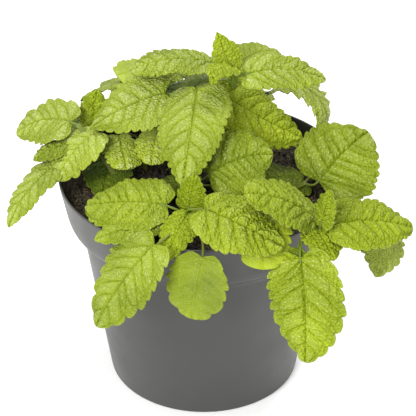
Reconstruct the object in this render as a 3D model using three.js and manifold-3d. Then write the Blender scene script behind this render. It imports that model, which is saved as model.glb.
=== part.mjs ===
// Potted lemon balm: a tapered plant pot with a wide collar, the soil in it and ten leafy shoots.
// Millimetres, +Z up, +Y away from the viewer. The origin is the middle of the pot's underside.
// Each shoot is one body: a square stem, its leaf stalks and its scalloped leaves grown together.
import * as THREE from 'three';
import { mergeVertices } from 'three/addons/utils/BufferGeometryUtils.js';
import Module from 'manifold-3d';

const wasm = await Module();
wasm.setup();

// Pot
const POT_HEIGHT = 110;
const RIM_RADIUS = 69.4;
const RIM_EDGE = 0.5;
const WALL = 1.3;
const COLLAR_RADIUS = 66;
const COLLAR_LOW = 92;
const STEP_TOP = [64.8, 88.2];
const STEP_LOW = [60, 84.2];
const BODY_TOP = [59, 82.4];
const FOOT_RADIUS = 46.9;
const FOOT_BEVEL = 1.5;
const FOOT_RING_INNER = 41;
const CENTRE_DISC_RADIUS = 18;
const BASE_RECESS = 3;
const FLOOR_TOP = 4.6;
const DRAIN_HOLES = 8;
const DRAIN_HOLE_RADIUS = 4;
const DRAIN_CIRCLE_RADIUS = 30;
const DRAIN_HOLE_SIDES = 10;
const RECESS_SLOPE = 1;
const FOOT_FLARE = 0.4;
const INNER_COLLAR_LIFT = 0.5;
const INNER_STEP_LIFT = 1;
const INNER_BODY_LIFT = 1.3;
const POT_SIDES = 40;

// Soil
const SOIL_TOP = 100;
const SOIL_GAP = 0.3;
const SOIL_BUMP = 1.1;
const SOIL_SIDES = 25;
const SOIL_RINGS = [60, 48, 36, 24, 12];
const SOIL_EDGE_FLAT = 1;
const SOIL_LUMPS = 5;
const LUMP_FINENESS = [0.12, 0.62];

// Leaves and stalks
const BLADE_THICKNESS = 0.7;
const TOOTH_LENGTH = 6;
const TOOTH_TIP = 0.65;
const TOOTH_CUT = 0.06;
const TOOTH_RISE = 0.11;
const WIDEST_AT = 0.36;
const BASE_BLUNTNESS = 0.4;
const BASE_WIDTH = 0.1;
const TIP_HALF_WIDTH = 0.45;
const LOBE = 0.25;
const LOBE_FADE = 0.1;
const FOLD_DEG = 7;
const SIDE_DROP = 0.11;
const WAVE = 0.022;
const WAVE_COUNT = 2.3;
const WAVE_OFFSET = 1.2;
const MIDRIB_STEPS = 60;
const STALK_RADIUS = 0.95;
const STALK_SIDES = 4;
const STALK_STEPS = 4;
const STALK_SUNK = 3;
const STALK_ALONG_STEM = 0.3;
const STALK_LEAN = 0.15;
const STALK_STRAIGHT = 0.4;
const STALK_DIP = 0.2;
const STEM_SIDES = 4;
const STEM_STEPS = 6;
const SQUARE_CORNER = 1.2;
const HOLE_SIDES = 8;
const HOLE_STEPS = 2;
const STEM_HOLE_GAP = 0.35;
const HOLE_ABOVE_SOIL = 2;

const degrees = (a) => (a * Math.PI) / 180;

// Makes a solid of a closed geometry, after its doubled vertices are joined.
function solid(geometry) {
  const g = geometry.clone();
  g.deleteAttribute('normal');
  g.deleteAttribute('uv');
  const merged = mergeVertices(g, 1e-5);
  return new wasm.Manifold(new wasm.Mesh({
    numProp: 3,
    vertProperties: new Float32Array(merged.attributes.position.array),
    triVerts: new Uint32Array(merged.index.array),
  }));
}

function geometryOf(body) {
  const mesh = body.getMesh();
  const g = new THREE.BufferGeometry();
  g.setAttribute('position', new THREE.BufferAttribute(new Float32Array(mesh.vertProperties), 3));
  g.setIndex(new THREE.BufferAttribute(new Uint32Array(mesh.triVerts), 1));
  g.computeVertexNormals();
  return g;
}

// Even random numbers from 0 to 1, the same at every run.
function randomFrom(seed) {
  let state = seed;
  return () => {
    state = (state * 1664525 + 1013904223) % 4294967296;
    return state / 4294967296;
  };
}

// Turned about Z from a profile of [radius, height] points.
function turned(profile, sides) {
  const g = new THREE.LatheGeometry(profile.map(([r, z]) => new THREE.Vector2(r, z)), sides);
  g.rotateX(Math.PI / 2);
  return g;
}

// Pot: one moulded wall with a stepped collar, a recessed base and drain holes.
function potBody() {
  const outside = [
    [0, 0],
    [CENTRE_DISC_RADIUS, 0],
    [CENTRE_DISC_RADIUS + RECESS_SLOPE, BASE_RECESS],
    [FOOT_RING_INNER - RECESS_SLOPE, BASE_RECESS],
    [FOOT_RING_INNER, 0],
    [FOOT_RADIUS - FOOT_BEVEL, 0],
    [FOOT_RADIUS + FOOT_FLARE, FOOT_BEVEL],
    BODY_TOP,
    STEP_LOW,
    STEP_TOP,
    [COLLAR_RADIUS, COLLAR_LOW],
    [RIM_RADIUS, POT_HEIGHT - RIM_EDGE],
    [RIM_RADIUS - RIM_EDGE, POT_HEIGHT],
  ];
  let body = solid(turned([...outside, ...innerWall(), [0, FLOOR_TOP]], POT_SIDES));
  for (let i = 0; i < DRAIN_HOLES; i += 1) {
    const angle = ((i + 0.5) * 2 * Math.PI) / DRAIN_HOLES;
    const radius = DRAIN_HOLE_RADIUS;
    const hole = new THREE.CylinderGeometry(radius, radius, 2 * FLOOR_TOP, DRAIN_HOLE_SIDES);
    hole.rotateX(Math.PI / 2);
    hole.translate(DRAIN_CIRCLE_RADIUS * Math.cos(angle), DRAIN_CIRCLE_RADIUS * Math.sin(angle), FLOOR_TOP);
    body = body.subtract(solid(hole));
  }
  return body;
}

// The pot's inside, from the rim down to the floor.
function innerWall() {
  return [
    [RIM_RADIUS - WALL, POT_HEIGHT],
    [COLLAR_RADIUS - WALL, COLLAR_LOW + INNER_COLLAR_LIFT],
    [STEP_TOP[0] - WALL, STEP_TOP[1] + INNER_STEP_LIFT],
    [BODY_TOP[0] - WALL, BODY_TOP[1] + INNER_BODY_LIFT],
    [FOOT_RADIUS - WALL, FLOOR_TOP],
  ];
}

// Soil: fills the pot to a little below its rim, with a crumbly top and a hole for each stem.
function soilBody(stemHoles) {
  const wall = innerWall().map(([r, z]) => [r - SOIL_GAP, z]);
  const [rimPoint, ...below] = wall;
  const share = (SOIL_TOP - below[0][1]) / (rimPoint[1] - below[0][1]);
  const edge = below[0][0] + share * (rimPoint[0] - below[0][0]);
  const sides = below.reverse();
  sides[0][1] += SOIL_GAP;
  const profile = [[0, sides[0][1]], ...sides, [edge, SOIL_TOP], ...SOIL_RINGS.map((r) => [r, SOIL_TOP])];
  const g = turned([...profile, [0, SOIL_TOP]], SOIL_SIDES);
  const p = g.attributes.position;
  const random = randomFrom(11);
  const [coarse, fine] = LUMP_FINENESS;
  const lumps = Array.from({ length: SOIL_LUMPS }, () => [
    coarse + random() * (fine - coarse),
    coarse + random() * (fine - coarse),
    random() * 2 * Math.PI,
  ]);
  for (let i = 0; i < p.count; i += 1) {
    const x = p.getX(i);
    const y = p.getY(i);
    const inner = p.getZ(i) > SOIL_TOP - 0.01 && Math.hypot(x, y) < edge - SOIL_EDGE_FLAT;
    if (inner) {
      const height = lumps.reduce((sum, [a, b, c]) => sum + Math.sin(a * x + c) * Math.cos(b * y - c), 0);
      p.setZ(i, SOIL_TOP + (SOIL_BUMP * height) / 2);
    }
  }
  let body = solid(g);
  for (const hole of stemHoles) {
    body = body.subtract(hole);
  }
  return body;
}

// A solid swept along a curve; the section is a ring of [across, up] points.
function swept(curve, section, steps) {
  const shape = new THREE.Shape(section.map(([a, b]) => new THREE.Vector2(a, b)));
  return solid(new THREE.ExtrudeGeometry(shape, { steps, extrudePath: curve, bevelEnabled: false }));
}

// A regular ring of points.
function ring(radius, sides) {
  return Array.from({ length: sides }, (_, i) => {
    const angle = (i * 2 * Math.PI) / sides;
    return [radius * Math.cos(angle), radius * Math.sin(angle)];
  });
}

function stemCurve(points) {
  const path = points.map(([x, y, z]) => new THREE.Vector3(x, y, z));
  return new THREE.CatmullRomCurve3(path, false, 'catmullrom', 0.5);
}

// The place along a rising curve where it reaches a height.
function atHeight(curve, height) {
  let low = 0;
  let high = 1;
  for (let i = 0; i < 30; i += 1) {
    const middle = (low + high) / 2;
    if (curve.getPoint(middle).z < height) {
      low = middle;
    } else {
      high = middle;
    }
  }
  return low;
}

function headingVector(heading, rise) {
  const flat = Math.cos(rise);
  return new THREE.Vector3(flat * Math.cos(heading), flat * Math.sin(heading), Math.sin(rise));
}

// Leaf stalk: leaves the stem along it, and reaches the blade from a little below its midrib.
function stalkCurve(stem, leaf) {
  const t = atHeight(stem, leaf.root);
  const from = stem.getPoint(t);
  const base = new THREE.Vector3(...leaf.base);
  const along = headingVector(degrees(leaf.heading), degrees(leaf.rise));
  const reach = base.distanceTo(from);
  const first = from.clone().addScaledVector(stem.getTangent(t), STALK_ALONG_STEM * reach);
  first.addScaledVector(base.clone().sub(from), STALK_LEAN);
  const second = base.clone().addScaledVector(along, -STALK_STRAIGHT * reach);
  second.z -= STALK_DIP * reach;
  const end = base.clone().addScaledVector(along, STALK_SUNK);
  return new THREE.CubicBezierCurve3(from, first, second, end);
}

// Share of the full half width at a place s from 0, the leaf's base, to 1, its tip.
function outlineShare(s, widest) {
  const back = (BASE_BLUNTNESS * (1 - widest)) / widest;
  const most = widest ** BASE_BLUNTNESS * (1 - widest) ** back;
  return (s ** BASE_BLUNTNESS * (1 - s) ** back) / most;
}

// Midrib: an arc that turns down by droop and aside by sweep, with the blade's own directions on it.
function midrib(leaf) {
  const point = new THREE.Vector3(...leaf.base);
  const line = [];
  for (let i = 0; i <= MIDRIB_STEPS; i += 1) {
    const s = i / MIDRIB_STEPS;
    const heading = degrees(leaf.heading + leaf.sweep * s);
    const rise = degrees(leaf.rise - leaf.droop * s);
    const along = headingVector(heading, rise);
    const flat = new THREE.Vector3(-Math.sin(heading), Math.cos(heading), 0);
    const up = new THREE.Vector3().crossVectors(along, flat);
    const roll = degrees(leaf.roll);
    const across = flat.clone().multiplyScalar(Math.cos(roll)).addScaledVector(up, Math.sin(roll));
    const normal = up.multiplyScalar(Math.cos(roll)).addScaledVector(flat, -Math.sin(roll));
    line.push({ point: point.clone(), along, across, normal });
    const half = 0.5 / MIDRIB_STEPS;
    const next = headingVector(
      degrees(leaf.heading + leaf.sweep * (s + half)),
      degrees(leaf.rise - leaf.droop * (s + half)),
    );
    point.addScaledVector(next, leaf.length / MIDRIB_STEPS);
  }
  return line;
}

// Places along the blade: the notch and the point of each tooth, and the leaf's tip.
function toothPlaces(leaf) {
  const teeth = Math.max(4, Math.round(leaf.length / TOOTH_LENGTH));
  const places = [];
  for (let k = 0; k < teeth; k += 1) {
    places.push([k / teeth, 0], [(k + TOOTH_TIP) / teeth, 1]);
  }
  places.push([1, 0]);
  return places;
}

// Blade: a thin sheet with scalloped edges, folded at the midrib, its sides hanging a little.
function bladeBody(leaf, phase) {
  const line = midrib(leaf);
  const places = toothPlaces(leaf);
  const halfWidth = leaf.width / 2;
  const rows = places.map(([s, tooth]) => {
    const spot = line[Math.round(s * MIDRIB_STEPS)];
    const share = outlineShare(s, leaf.widest) * (1 + leaf.bite * (TOOTH_RISE * tooth - TOOTH_CUT));
    const first = s === 0 ? halfWidth * BASE_WIDTH : 0;
    const half = Math.max(halfWidth * share, first, TIP_HALF_WIDTH);
    const back = LOBE * leaf.length * Math.exp(-s / LOBE_FADE) * (half / halfWidth);
    return [-1, 0, 1].map((side) => {
      const hang = half * Math.tan(degrees(FOLD_DEG)) - SIDE_DROP * leaf.width * (half / halfWidth);
      const turn = 2 * Math.PI * WAVE_COUNT * s + phase + side * WAVE_OFFSET;
      const wave = WAVE * leaf.width * Math.sin(turn) * share;
      const edge = Math.abs(side);
      return {
        point: spot.point.clone()
          .addScaledVector(spot.across, side * half)
          .addScaledVector(spot.along, -edge * back)
          .addScaledVector(spot.normal, edge * (hang + wave)),
        normal: spot.normal,
      };
    });
  });
  return solid(sheet(rows));
}

// A closed sheet of even thickness from rows of points, cut into triangles alike on both faces.
function sheet(rows) {
  const wide = rows[0].length;
  const count = rows.length * wide;
  const positions = [];
  for (const face of [1, -1]) {
    for (const row of rows) {
      for (const { point, normal } of row) {
        const p = point.clone().addScaledVector(normal, (face * BLADE_THICKNESS) / 2);
        positions.push(p.x, p.y, p.z);
      }
    }
  }
  const index = [];
  for (let i = 0; i < rows.length - 1; i += 1) {
    for (let j = 0; j < wide - 1; j += 1) {
      const a = i * wide + j;
      const b = a + 1;
      const c = a + wide;
      const d = c + 1;
      const leftHalf = j < (wide - 1) / 2;
      const halves = leftHalf ? [[a, b, c], [b, d, c]] : [[a, d, c], [a, b, d]];
      for (const [p, q, r] of halves) {
        index.push(p, r, q, p + count, q + count, r + count);
      }
    }
  }
  const edge = [];
  for (let j = 0; j < wide - 1; j += 1) {
    edge.push(j);
  }
  for (let i = 0; i < rows.length - 1; i += 1) {
    edge.push(i * wide + wide - 1);
  }
  for (let j = wide - 1; j > 0; j -= 1) {
    edge.push((rows.length - 1) * wide + j);
  }
  for (let i = rows.length - 1; i > 0; i -= 1) {
    edge.push(i * wide);
  }
  edge.forEach((a, k) => {
    const b = edge[(k + 1) % edge.length];
    index.push(a, b, b + count, a, b + count, a + count);
  });
  const g = new THREE.BufferGeometry();
  g.setAttribute('position', new THREE.Float32BufferAttribute(positions, 3));
  g.setIndex(index);
  return g;
}

// One leaf: root, the height on the stem where its stalk starts; base, where stalk and blade meet;
// heading, from +X towards +Y, and rise above level, of the midrib at its base; length and width;
// droop, how far the midrib turns down from base to tip; roll, which lifts the left side;
// sweep, how far the midrib turns to the left; widest, the share of the length where the blade is
// widest; bite, how deep its teeth are cut, 1 for the usual scallops. Millimetres and degrees.
function leaf(root, base, heading, rise, length, width, droop, roll, sweep, widest = WIDEST_AT, bite = 1) {
  return { root, base, heading, rise, length, width, droop, roll, sweep, widest, bite };
}

// Shoots: a stem's radius, the points it passes, and its leaves from the tip down.
const SHOOTS = {
  shoot_top: {
    radius: 1.8,
    stem: [[6, 7, 90], [8, 9, 112], [12, 13, 138], [15, 11, 158]],
    leaves: [
      leaf(157, [13, 10, 158], 165, 72, 20, 13, 5, -65, 0, 0.3), // young leaf standing at the tip
      leaf(157, [14, 8, 161], -130, 30, 19, 14, 40, -5, 0), // young leaf in front of it
      leaf(153, [19, 7, 158], 4, 17, 40, 24, 47, 14, 0), // highest leaf, to the right
      leaf(153, [4, 18, 158], 182, 20, 40, 23, 43, -3, 13, 0.44), // highest leaf, to the left
      leaf(144, [-3, 7, 151], -94, -2, 55, 33, 58, 11, -10, 0.35), // long leaf hanging forward
      leaf(150, [-18, 6, 149], 184, -14, 41, 33, 26, -24, 0, 0.28), // broad leaf to the left
      leaf(150, [4, 17, 148], 160, -4, 23, 24, 25, 0, 0), // leaf below it
      leaf(147, [4, 6, 152], 3, -39, 54, 32, -8, 31, 8), // broad leaf falling to the right
    ],
  },
  shoot_back_left: {
    radius: 1.6,
    stem: [[-20, 30, 90], [-22, 34, 112], [-26, 40, 130], [-28, 43, 138]],
    leaves: [
      leaf(132, [-20, 34, 141], 163, -3, 48, 25, 40, 18, 0), // long leaf to the left
      leaf(137, [-25, 43, 142], -156, 12, 19, 21, 22, -10, 0, 0.5), // short leaf
      leaf(128, [-18, 37, 134], -25, 2, 32, 24, 30, 0, 0), // leaf turned to the right
      leaf(137, [-27, 48, 138], 85, 0, 26, 18, 40, 0, 0), // young leaf at the back
      leaf(126, [-33, 53, 125], 110, 5, 38, 28, 50, 0, 0), // leaf over the back of the rim
    ],
  },
  shoot_back_right: {
    radius: 1.6,
    stem: [[24, 24, 90], [24, 28, 112], [22, 32, 134], [20, 33, 144]],
    leaves: [
      leaf(143, [17, 32, 151], 35, 24, 27, 24, 60, 7, 0), // leaf behind the tip
      leaf(131, [34, 37, 134], -30, 48, 64, 19, 225, 0, 20, 0.5, 2), // curled leaf over the right of the rim
      leaf(136, [15, 42, 137], 100, 8, 36, 26, 60, 0, 0), // leaf to the back
    ],
  },
  shoot_back: {
    radius: 1.6,
    stem: [[-4, 48, 90], [-4, 51, 108], [-6, 57, 120], [-7, 61, 127]],
    leaves: [
      leaf(126, [-8, 66, 126], 85, 12, 30, 20, 50, 0, 0), // young leaf
      leaf(125, [-12, 60, 130], -165, 20, 20, 15, 50, 0, 0), // young leaf, forward
      leaf(118, [8, 64, 117], 35, 5, 38, 28, 50, 0, 0), // leaf to the back right
      leaf(116, [-20, 66, 117], 140, 5, 38, 30, 50, 0, 0), // leaf to the back left
      leaf(112, [0, 72, 114], 75, -1, 38, 26, 50, 0, 0), // low leaf over the rim
    ],
  },
  shoot_left: {
    radius: 1.6,
    stem: [[-36, 0, 90], [-43, 0, 108], [-53, 6, 122], [-60, 9, 130]],
    leaves: [
      leaf(129, [-63, 12, 130], 160, 8, 32, 27, 57, -20, 15), // leaf pointing left
      leaf(126, [-54, 21, 122], 73, 68, 18, 15, 15, 10, 0), // young standing leaf
      leaf(118, [-50, 4, 129], -152, -16, 32, 28, 38, 5, 25), // leaf bent over the rim
      leaf(118, [-65, 1, 116], -137, 0, 46, 18, 54, 5, 10), // long hanging leaf
      leaf(122, [-64, 3, 123], -160, 0, 19, 14, 33, -5, 0), // small leaf
      leaf(104, [-45, 12, 112], -97, -11, 27, 23, 17, 0, 0), // low leaf over the soil
      leaf(120, [-60, 26, 118], 120, 5, 32, 26, 50, 0, 0), // leaf to the back
    ],
  },
  shoot_mid_left: {
    radius: 1.3,
    stem: [[-27, 14, 90], [-29, 15, 106], [-31, 16, 118]],
    leaves: [
      leaf(116, [-40, 6, 126], -77, -14, 20, 18, 26, -8, 0, 0.5), // round leaf
      leaf(116, [-22, 10, 127], -98, -12, 21, 17, 27, -7, 0, 0.45), // round leaf beside it
    ],
  },
  shoot_mid: {
    radius: 1.4,
    stem: [[8, -12, 90], [6, -12, 106], [3, -13, 114]],
    leaves: [
      leaf(112, [2, -28, 125], 15, 33, 32, 37, 40, 26, -8), // broad round leaf
      leaf(107, [-3, -12, 110], 165, 0, 24, 18, 20, 0, 0), // low leaf
    ],
  },
  shoot_front: {
    radius: 1.6,
    stem: [[-6, -32, 90], [-7, -38, 104], [-8, -45, 114]],
    leaves: [
      leaf(112, [-17, -46, 120], 166, 1, 40, 33, 25, -15, -5, 0.4), // broad leaf to the left
      leaf(113, [-7, -45, 115], 60, 79, 18, 14, 15, 3, 0), // young standing leaf
      leaf(113, [-7, -50, 118], -112, -4, 29, 15, 33, -7, 0), // young leaf, forward
      leaf(112, [0, -60, 127], -27, -9, 40, 33, 20, 12, 17), // broad leaf to the right
      leaf(102, [-22, -71, 115], -153, -38, 46, 32, 24, -10, 0, 0.38), // hanging leaf, left
      leaf(106, [-1, -77, 112], -115, -46, 29, 28, 42, 5, 5, 0.45), // hanging leaf, middle
      leaf(106, [-20, -50, 115], -162, -3, 31, 19, 14, -10, 0), // leaf under the broad one
    ],
  },
  shoot_right: {
    radius: 1.6,
    stem: [[36, -34, 90], [40, -42, 106], [48, -54, 115], [52, -61, 119]],
    leaves: [
      leaf(117, [56, -63, 120], 11, 8, 40, 31, 36, 14, 0), // leaf pointing right
      leaf(112, [51, -55, 116], -174, 52, 40, 27, 44, -15, 10, 0.44), // leaf back over the pot
      leaf(118, [51, -65, 120], 30, 82, 18, 14, 14, 0, 0), // young standing leaf
      leaf(116, [50, -60, 116], -73, 2, 20, 18, 35, -8, 10), // small hanging leaf
      leaf(112, [42, -75, 110], -71, -62, 51, 35, 28, 36, -18), // longest hanging leaf
      leaf(114, [67, -61, 115], 35, -5, 41, 24, 120, -22, 10), // curled leaf under the right one
      leaf(112, [41, -70, 112], -105, -45, 8, 8, 20, 0, 0), // small leaf over the rim
      leaf(104, [27, -47, 117], -92, 16, 34, 24, 82, 0, 0, 0.5), // leaf low in front
    ],
  },
  shoot_right_back: {
    radius: 1.5,
    stem: [[36, -6, 90], [42, -10, 104], [48, -15, 112]],
    leaves: [
      leaf(110, [53, -20, 116], 28, 50, 34, 46, 34, 16, 8), // broad leaf to the right
      leaf(106, [48, -2, 106], -158, 22, 28, 26, 18, -7, 0), // low leaf over the soil
      leaf(108, [54, -3, 114], 50, 12, 26, 20, 30, 0, 0), // leaf under the broad one
    ],
  },
};

// One shoot as a single body.
function shootBody(shoot, random) {
  const stem = stemCurve(shoot.stem);
  const bodies = [swept(stem, ring(shoot.radius * SQUARE_CORNER, STEM_SIDES), STEM_STEPS)];
  for (const one of shoot.leaves) {
    bodies.push(swept(stalkCurve(stem, one), ring(STALK_RADIUS, STALK_SIDES), STALK_STEPS));
    bodies.push(bladeBody(one, 2 * Math.PI * random()));
  }
  return wasm.Manifold.union(bodies);
}

// The hole in the soil that a shoot's stem stands in.
function stemHole(shoot) {
  const stem = stemCurve(shoot.stem);
  const top = atHeight(stem, SOIL_TOP + SOIL_BUMP + HOLE_ABOVE_SOIL);
  const points = [0, 0.5, 1].map((k) => stem.getPoint(k * top));
  points[0].addScaledVector(stem.getTangent(0), -STEM_HOLE_GAP);
  const path = new THREE.CatmullRomCurve3(points, false, 'catmullrom', 0.5);
  return swept(path, ring(shoot.radius * SQUARE_CORNER + STEM_HOLE_GAP, HOLE_SIDES), HOLE_STEPS);
}

const potFinish = new THREE.MeshStandardMaterial({ color: '#5b5c58', roughness: 0.5, metalness: 0 });
const soilFinish = new THREE.MeshStandardMaterial({ color: '#2f2218', roughness: 0.95, metalness: 0 });
const leafFinish = new THREE.MeshStandardMaterial({ color: '#9dbd3a', roughness: 0.6, metalness: 0 });
potFinish.name = 'pot_plastic';
soilFinish.name = 'soil';
leafFinish.name = 'leaf';

const plant = new THREE.Group();
plant.name = 'potted_lemon_balm';

function place(name, body, finish) {
  const mesh = new THREE.Mesh(geometryOf(body), finish.clone());
  mesh.name = name;
  plant.add(mesh);
}

place('pot', potBody(), potFinish);
place('soil', soilBody(Object.values(SHOOTS).map(stemHole)), soilFinish);
const random = randomFrom(7);
for (const [name, shoot] of Object.entries(SHOOTS)) {
  place(name, shootBody(shoot, random), leafFinish);
}

export default plant;
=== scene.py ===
"""Potted lemon balm, dressed for rendering: a tapered pot with a wide collar, its soil and ten leafy shoots.

Objects are in metres in the model's own frame: +Z up, the origin in the middle of the pot's underside, and
-Y towards the viewer. Sizes in the classes below are in millimetres and angles in degrees, unless they say
otherwise.
"""
import logging
import math
from collections.abc import Iterator
from dataclasses import dataclass, field
from enum import Enum

import bpy
import numpy as np
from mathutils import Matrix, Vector


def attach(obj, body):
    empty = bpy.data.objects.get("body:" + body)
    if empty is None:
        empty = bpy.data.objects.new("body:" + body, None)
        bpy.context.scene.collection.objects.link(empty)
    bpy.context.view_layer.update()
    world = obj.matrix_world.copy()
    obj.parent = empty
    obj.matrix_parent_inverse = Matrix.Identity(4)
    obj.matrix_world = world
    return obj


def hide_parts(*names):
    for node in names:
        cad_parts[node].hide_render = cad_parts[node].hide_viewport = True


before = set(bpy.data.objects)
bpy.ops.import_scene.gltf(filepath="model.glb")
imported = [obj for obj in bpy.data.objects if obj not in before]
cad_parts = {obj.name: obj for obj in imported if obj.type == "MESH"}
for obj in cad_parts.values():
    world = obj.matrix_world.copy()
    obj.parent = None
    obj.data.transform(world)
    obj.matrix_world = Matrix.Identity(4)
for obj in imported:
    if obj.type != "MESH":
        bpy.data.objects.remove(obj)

LOG = logging.getLogger("lemon_balm")
MM = 0.001
BODY = "root"
# Farther than any vein or border that counts, in millimetres or cells.
FAR = 9.0
# How far the middle of a cell strays in its square.
CELL_JITTER = (0.18, 0.82)
# A direction that no tube starts in, from which its first side is worked out.
SIDE_HINT = (0.3, 0.9, 0.1)
Array = np.ndarray
Point = tuple[float, float, float]
Color = tuple[float, float, float]
Profile = list[tuple[float, float]]
Marks = dict[str, Array | float]
Random = np.random.Generator
Piece = bpy.types.Object
Node = bpy.types.Node
Socket = bpy.types.NodeSocket
Outputs = bpy.types.NodeOutputs


class Relief(Enum):
    """How a leaf's surface stands up between its veins."""

    YOUNG = "small tight pebbles"
    QUILTED = "cushions between deep veins"
    VEINED = "clear veins, shallow cushions"
    SMOOTH = "nearly flat"
    COARSE = "clear veins, soft wide cells"


YOUNG, QUILTED, VEINED, SMOOTH, COARSE = Relief


@dataclass(frozen=True)
class ReliefSizes:
    """Sizes of one kind of leaf surface.

    cell is how wide its small pebbles are, and pebble, puff, cushion and groove are the heights of the
    pebbles, of the wider swellings, of the cushions between the side veins and of the veins' grooves. point
    is 0 for round teeth and 1 for pointed ones, spacing is the distance between points of its mesh, contrast
    is how dark the painted shade in the net between the pebbles is, and pale how much paler than the blade
    the veins are.
    """

    cell: float
    pebble: float
    puff: float
    cushion: float
    groove: float
    point: float
    spacing: float
    contrast: float
    pale: float = 0.0


RELIEF_SIZES: dict[Relief, ReliefSizes] = {
    YOUNG: ReliefSizes(1.65, 0.56, 0.6, 0.45, 0.25, point=0.3, spacing=0.42, contrast=1.0),
    QUILTED: ReliefSizes(1.8, 0.5, 0.6, 0.95, 0.4, point=0.2, spacing=0.46, contrast=0.8),
    VEINED: ReliefSizes(1.6, 0.42, 0.35, 0.45, 0.3, point=0.2, spacing=0.5, contrast=0.55),
    SMOOTH: ReliefSizes(1.5, 0.1, 0.12, 0.25, 0.15, point=0.1, spacing=0.5, contrast=0.25, pale=0.8),
    COARSE: ReliefSizes(1.4, 0.28, 0.3, 0.4, 0.3, point=0.2, spacing=0.62, contrast=0.5),
}


@dataclass(frozen=True)
class Leaf:
    """One leaf.

    root is the height on the stem where its stalk starts, and base is where stalk and blade meet. heading,
    from +X towards +Y, and rise are the midrib's at its base. The midrib turns down by droop and left by
    sweep, and roll lifts the left side. tone is 0 for the deepest green and 1 for the freshest, and it also
    holds painted shade and light: it is set darker on leaves that stand in shade and lighter on leaves that
    lie in shadow under others. widest is the share of the length where the blade is widest, and bite is how
    deep its teeth are cut, 1 for the usual scallops. How white the down on it looks goes from 0 to 1, and
    that white is partly a painted sheen. tooth is how long its teeth are.
    """

    root: float
    base: Point
    heading: float
    rise: float
    length: float
    width: float
    droop: float
    roll: float
    sweep: float
    relief: Relief
    # Partly painted shade and light, as well as the leaf's own green.
    tone: float
    widest: float = 0.36
    bite: float = 1.0
    # How white the down looks, partly a painted sheen.
    down: float = 0.5
    tooth: float = 3.6


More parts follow.
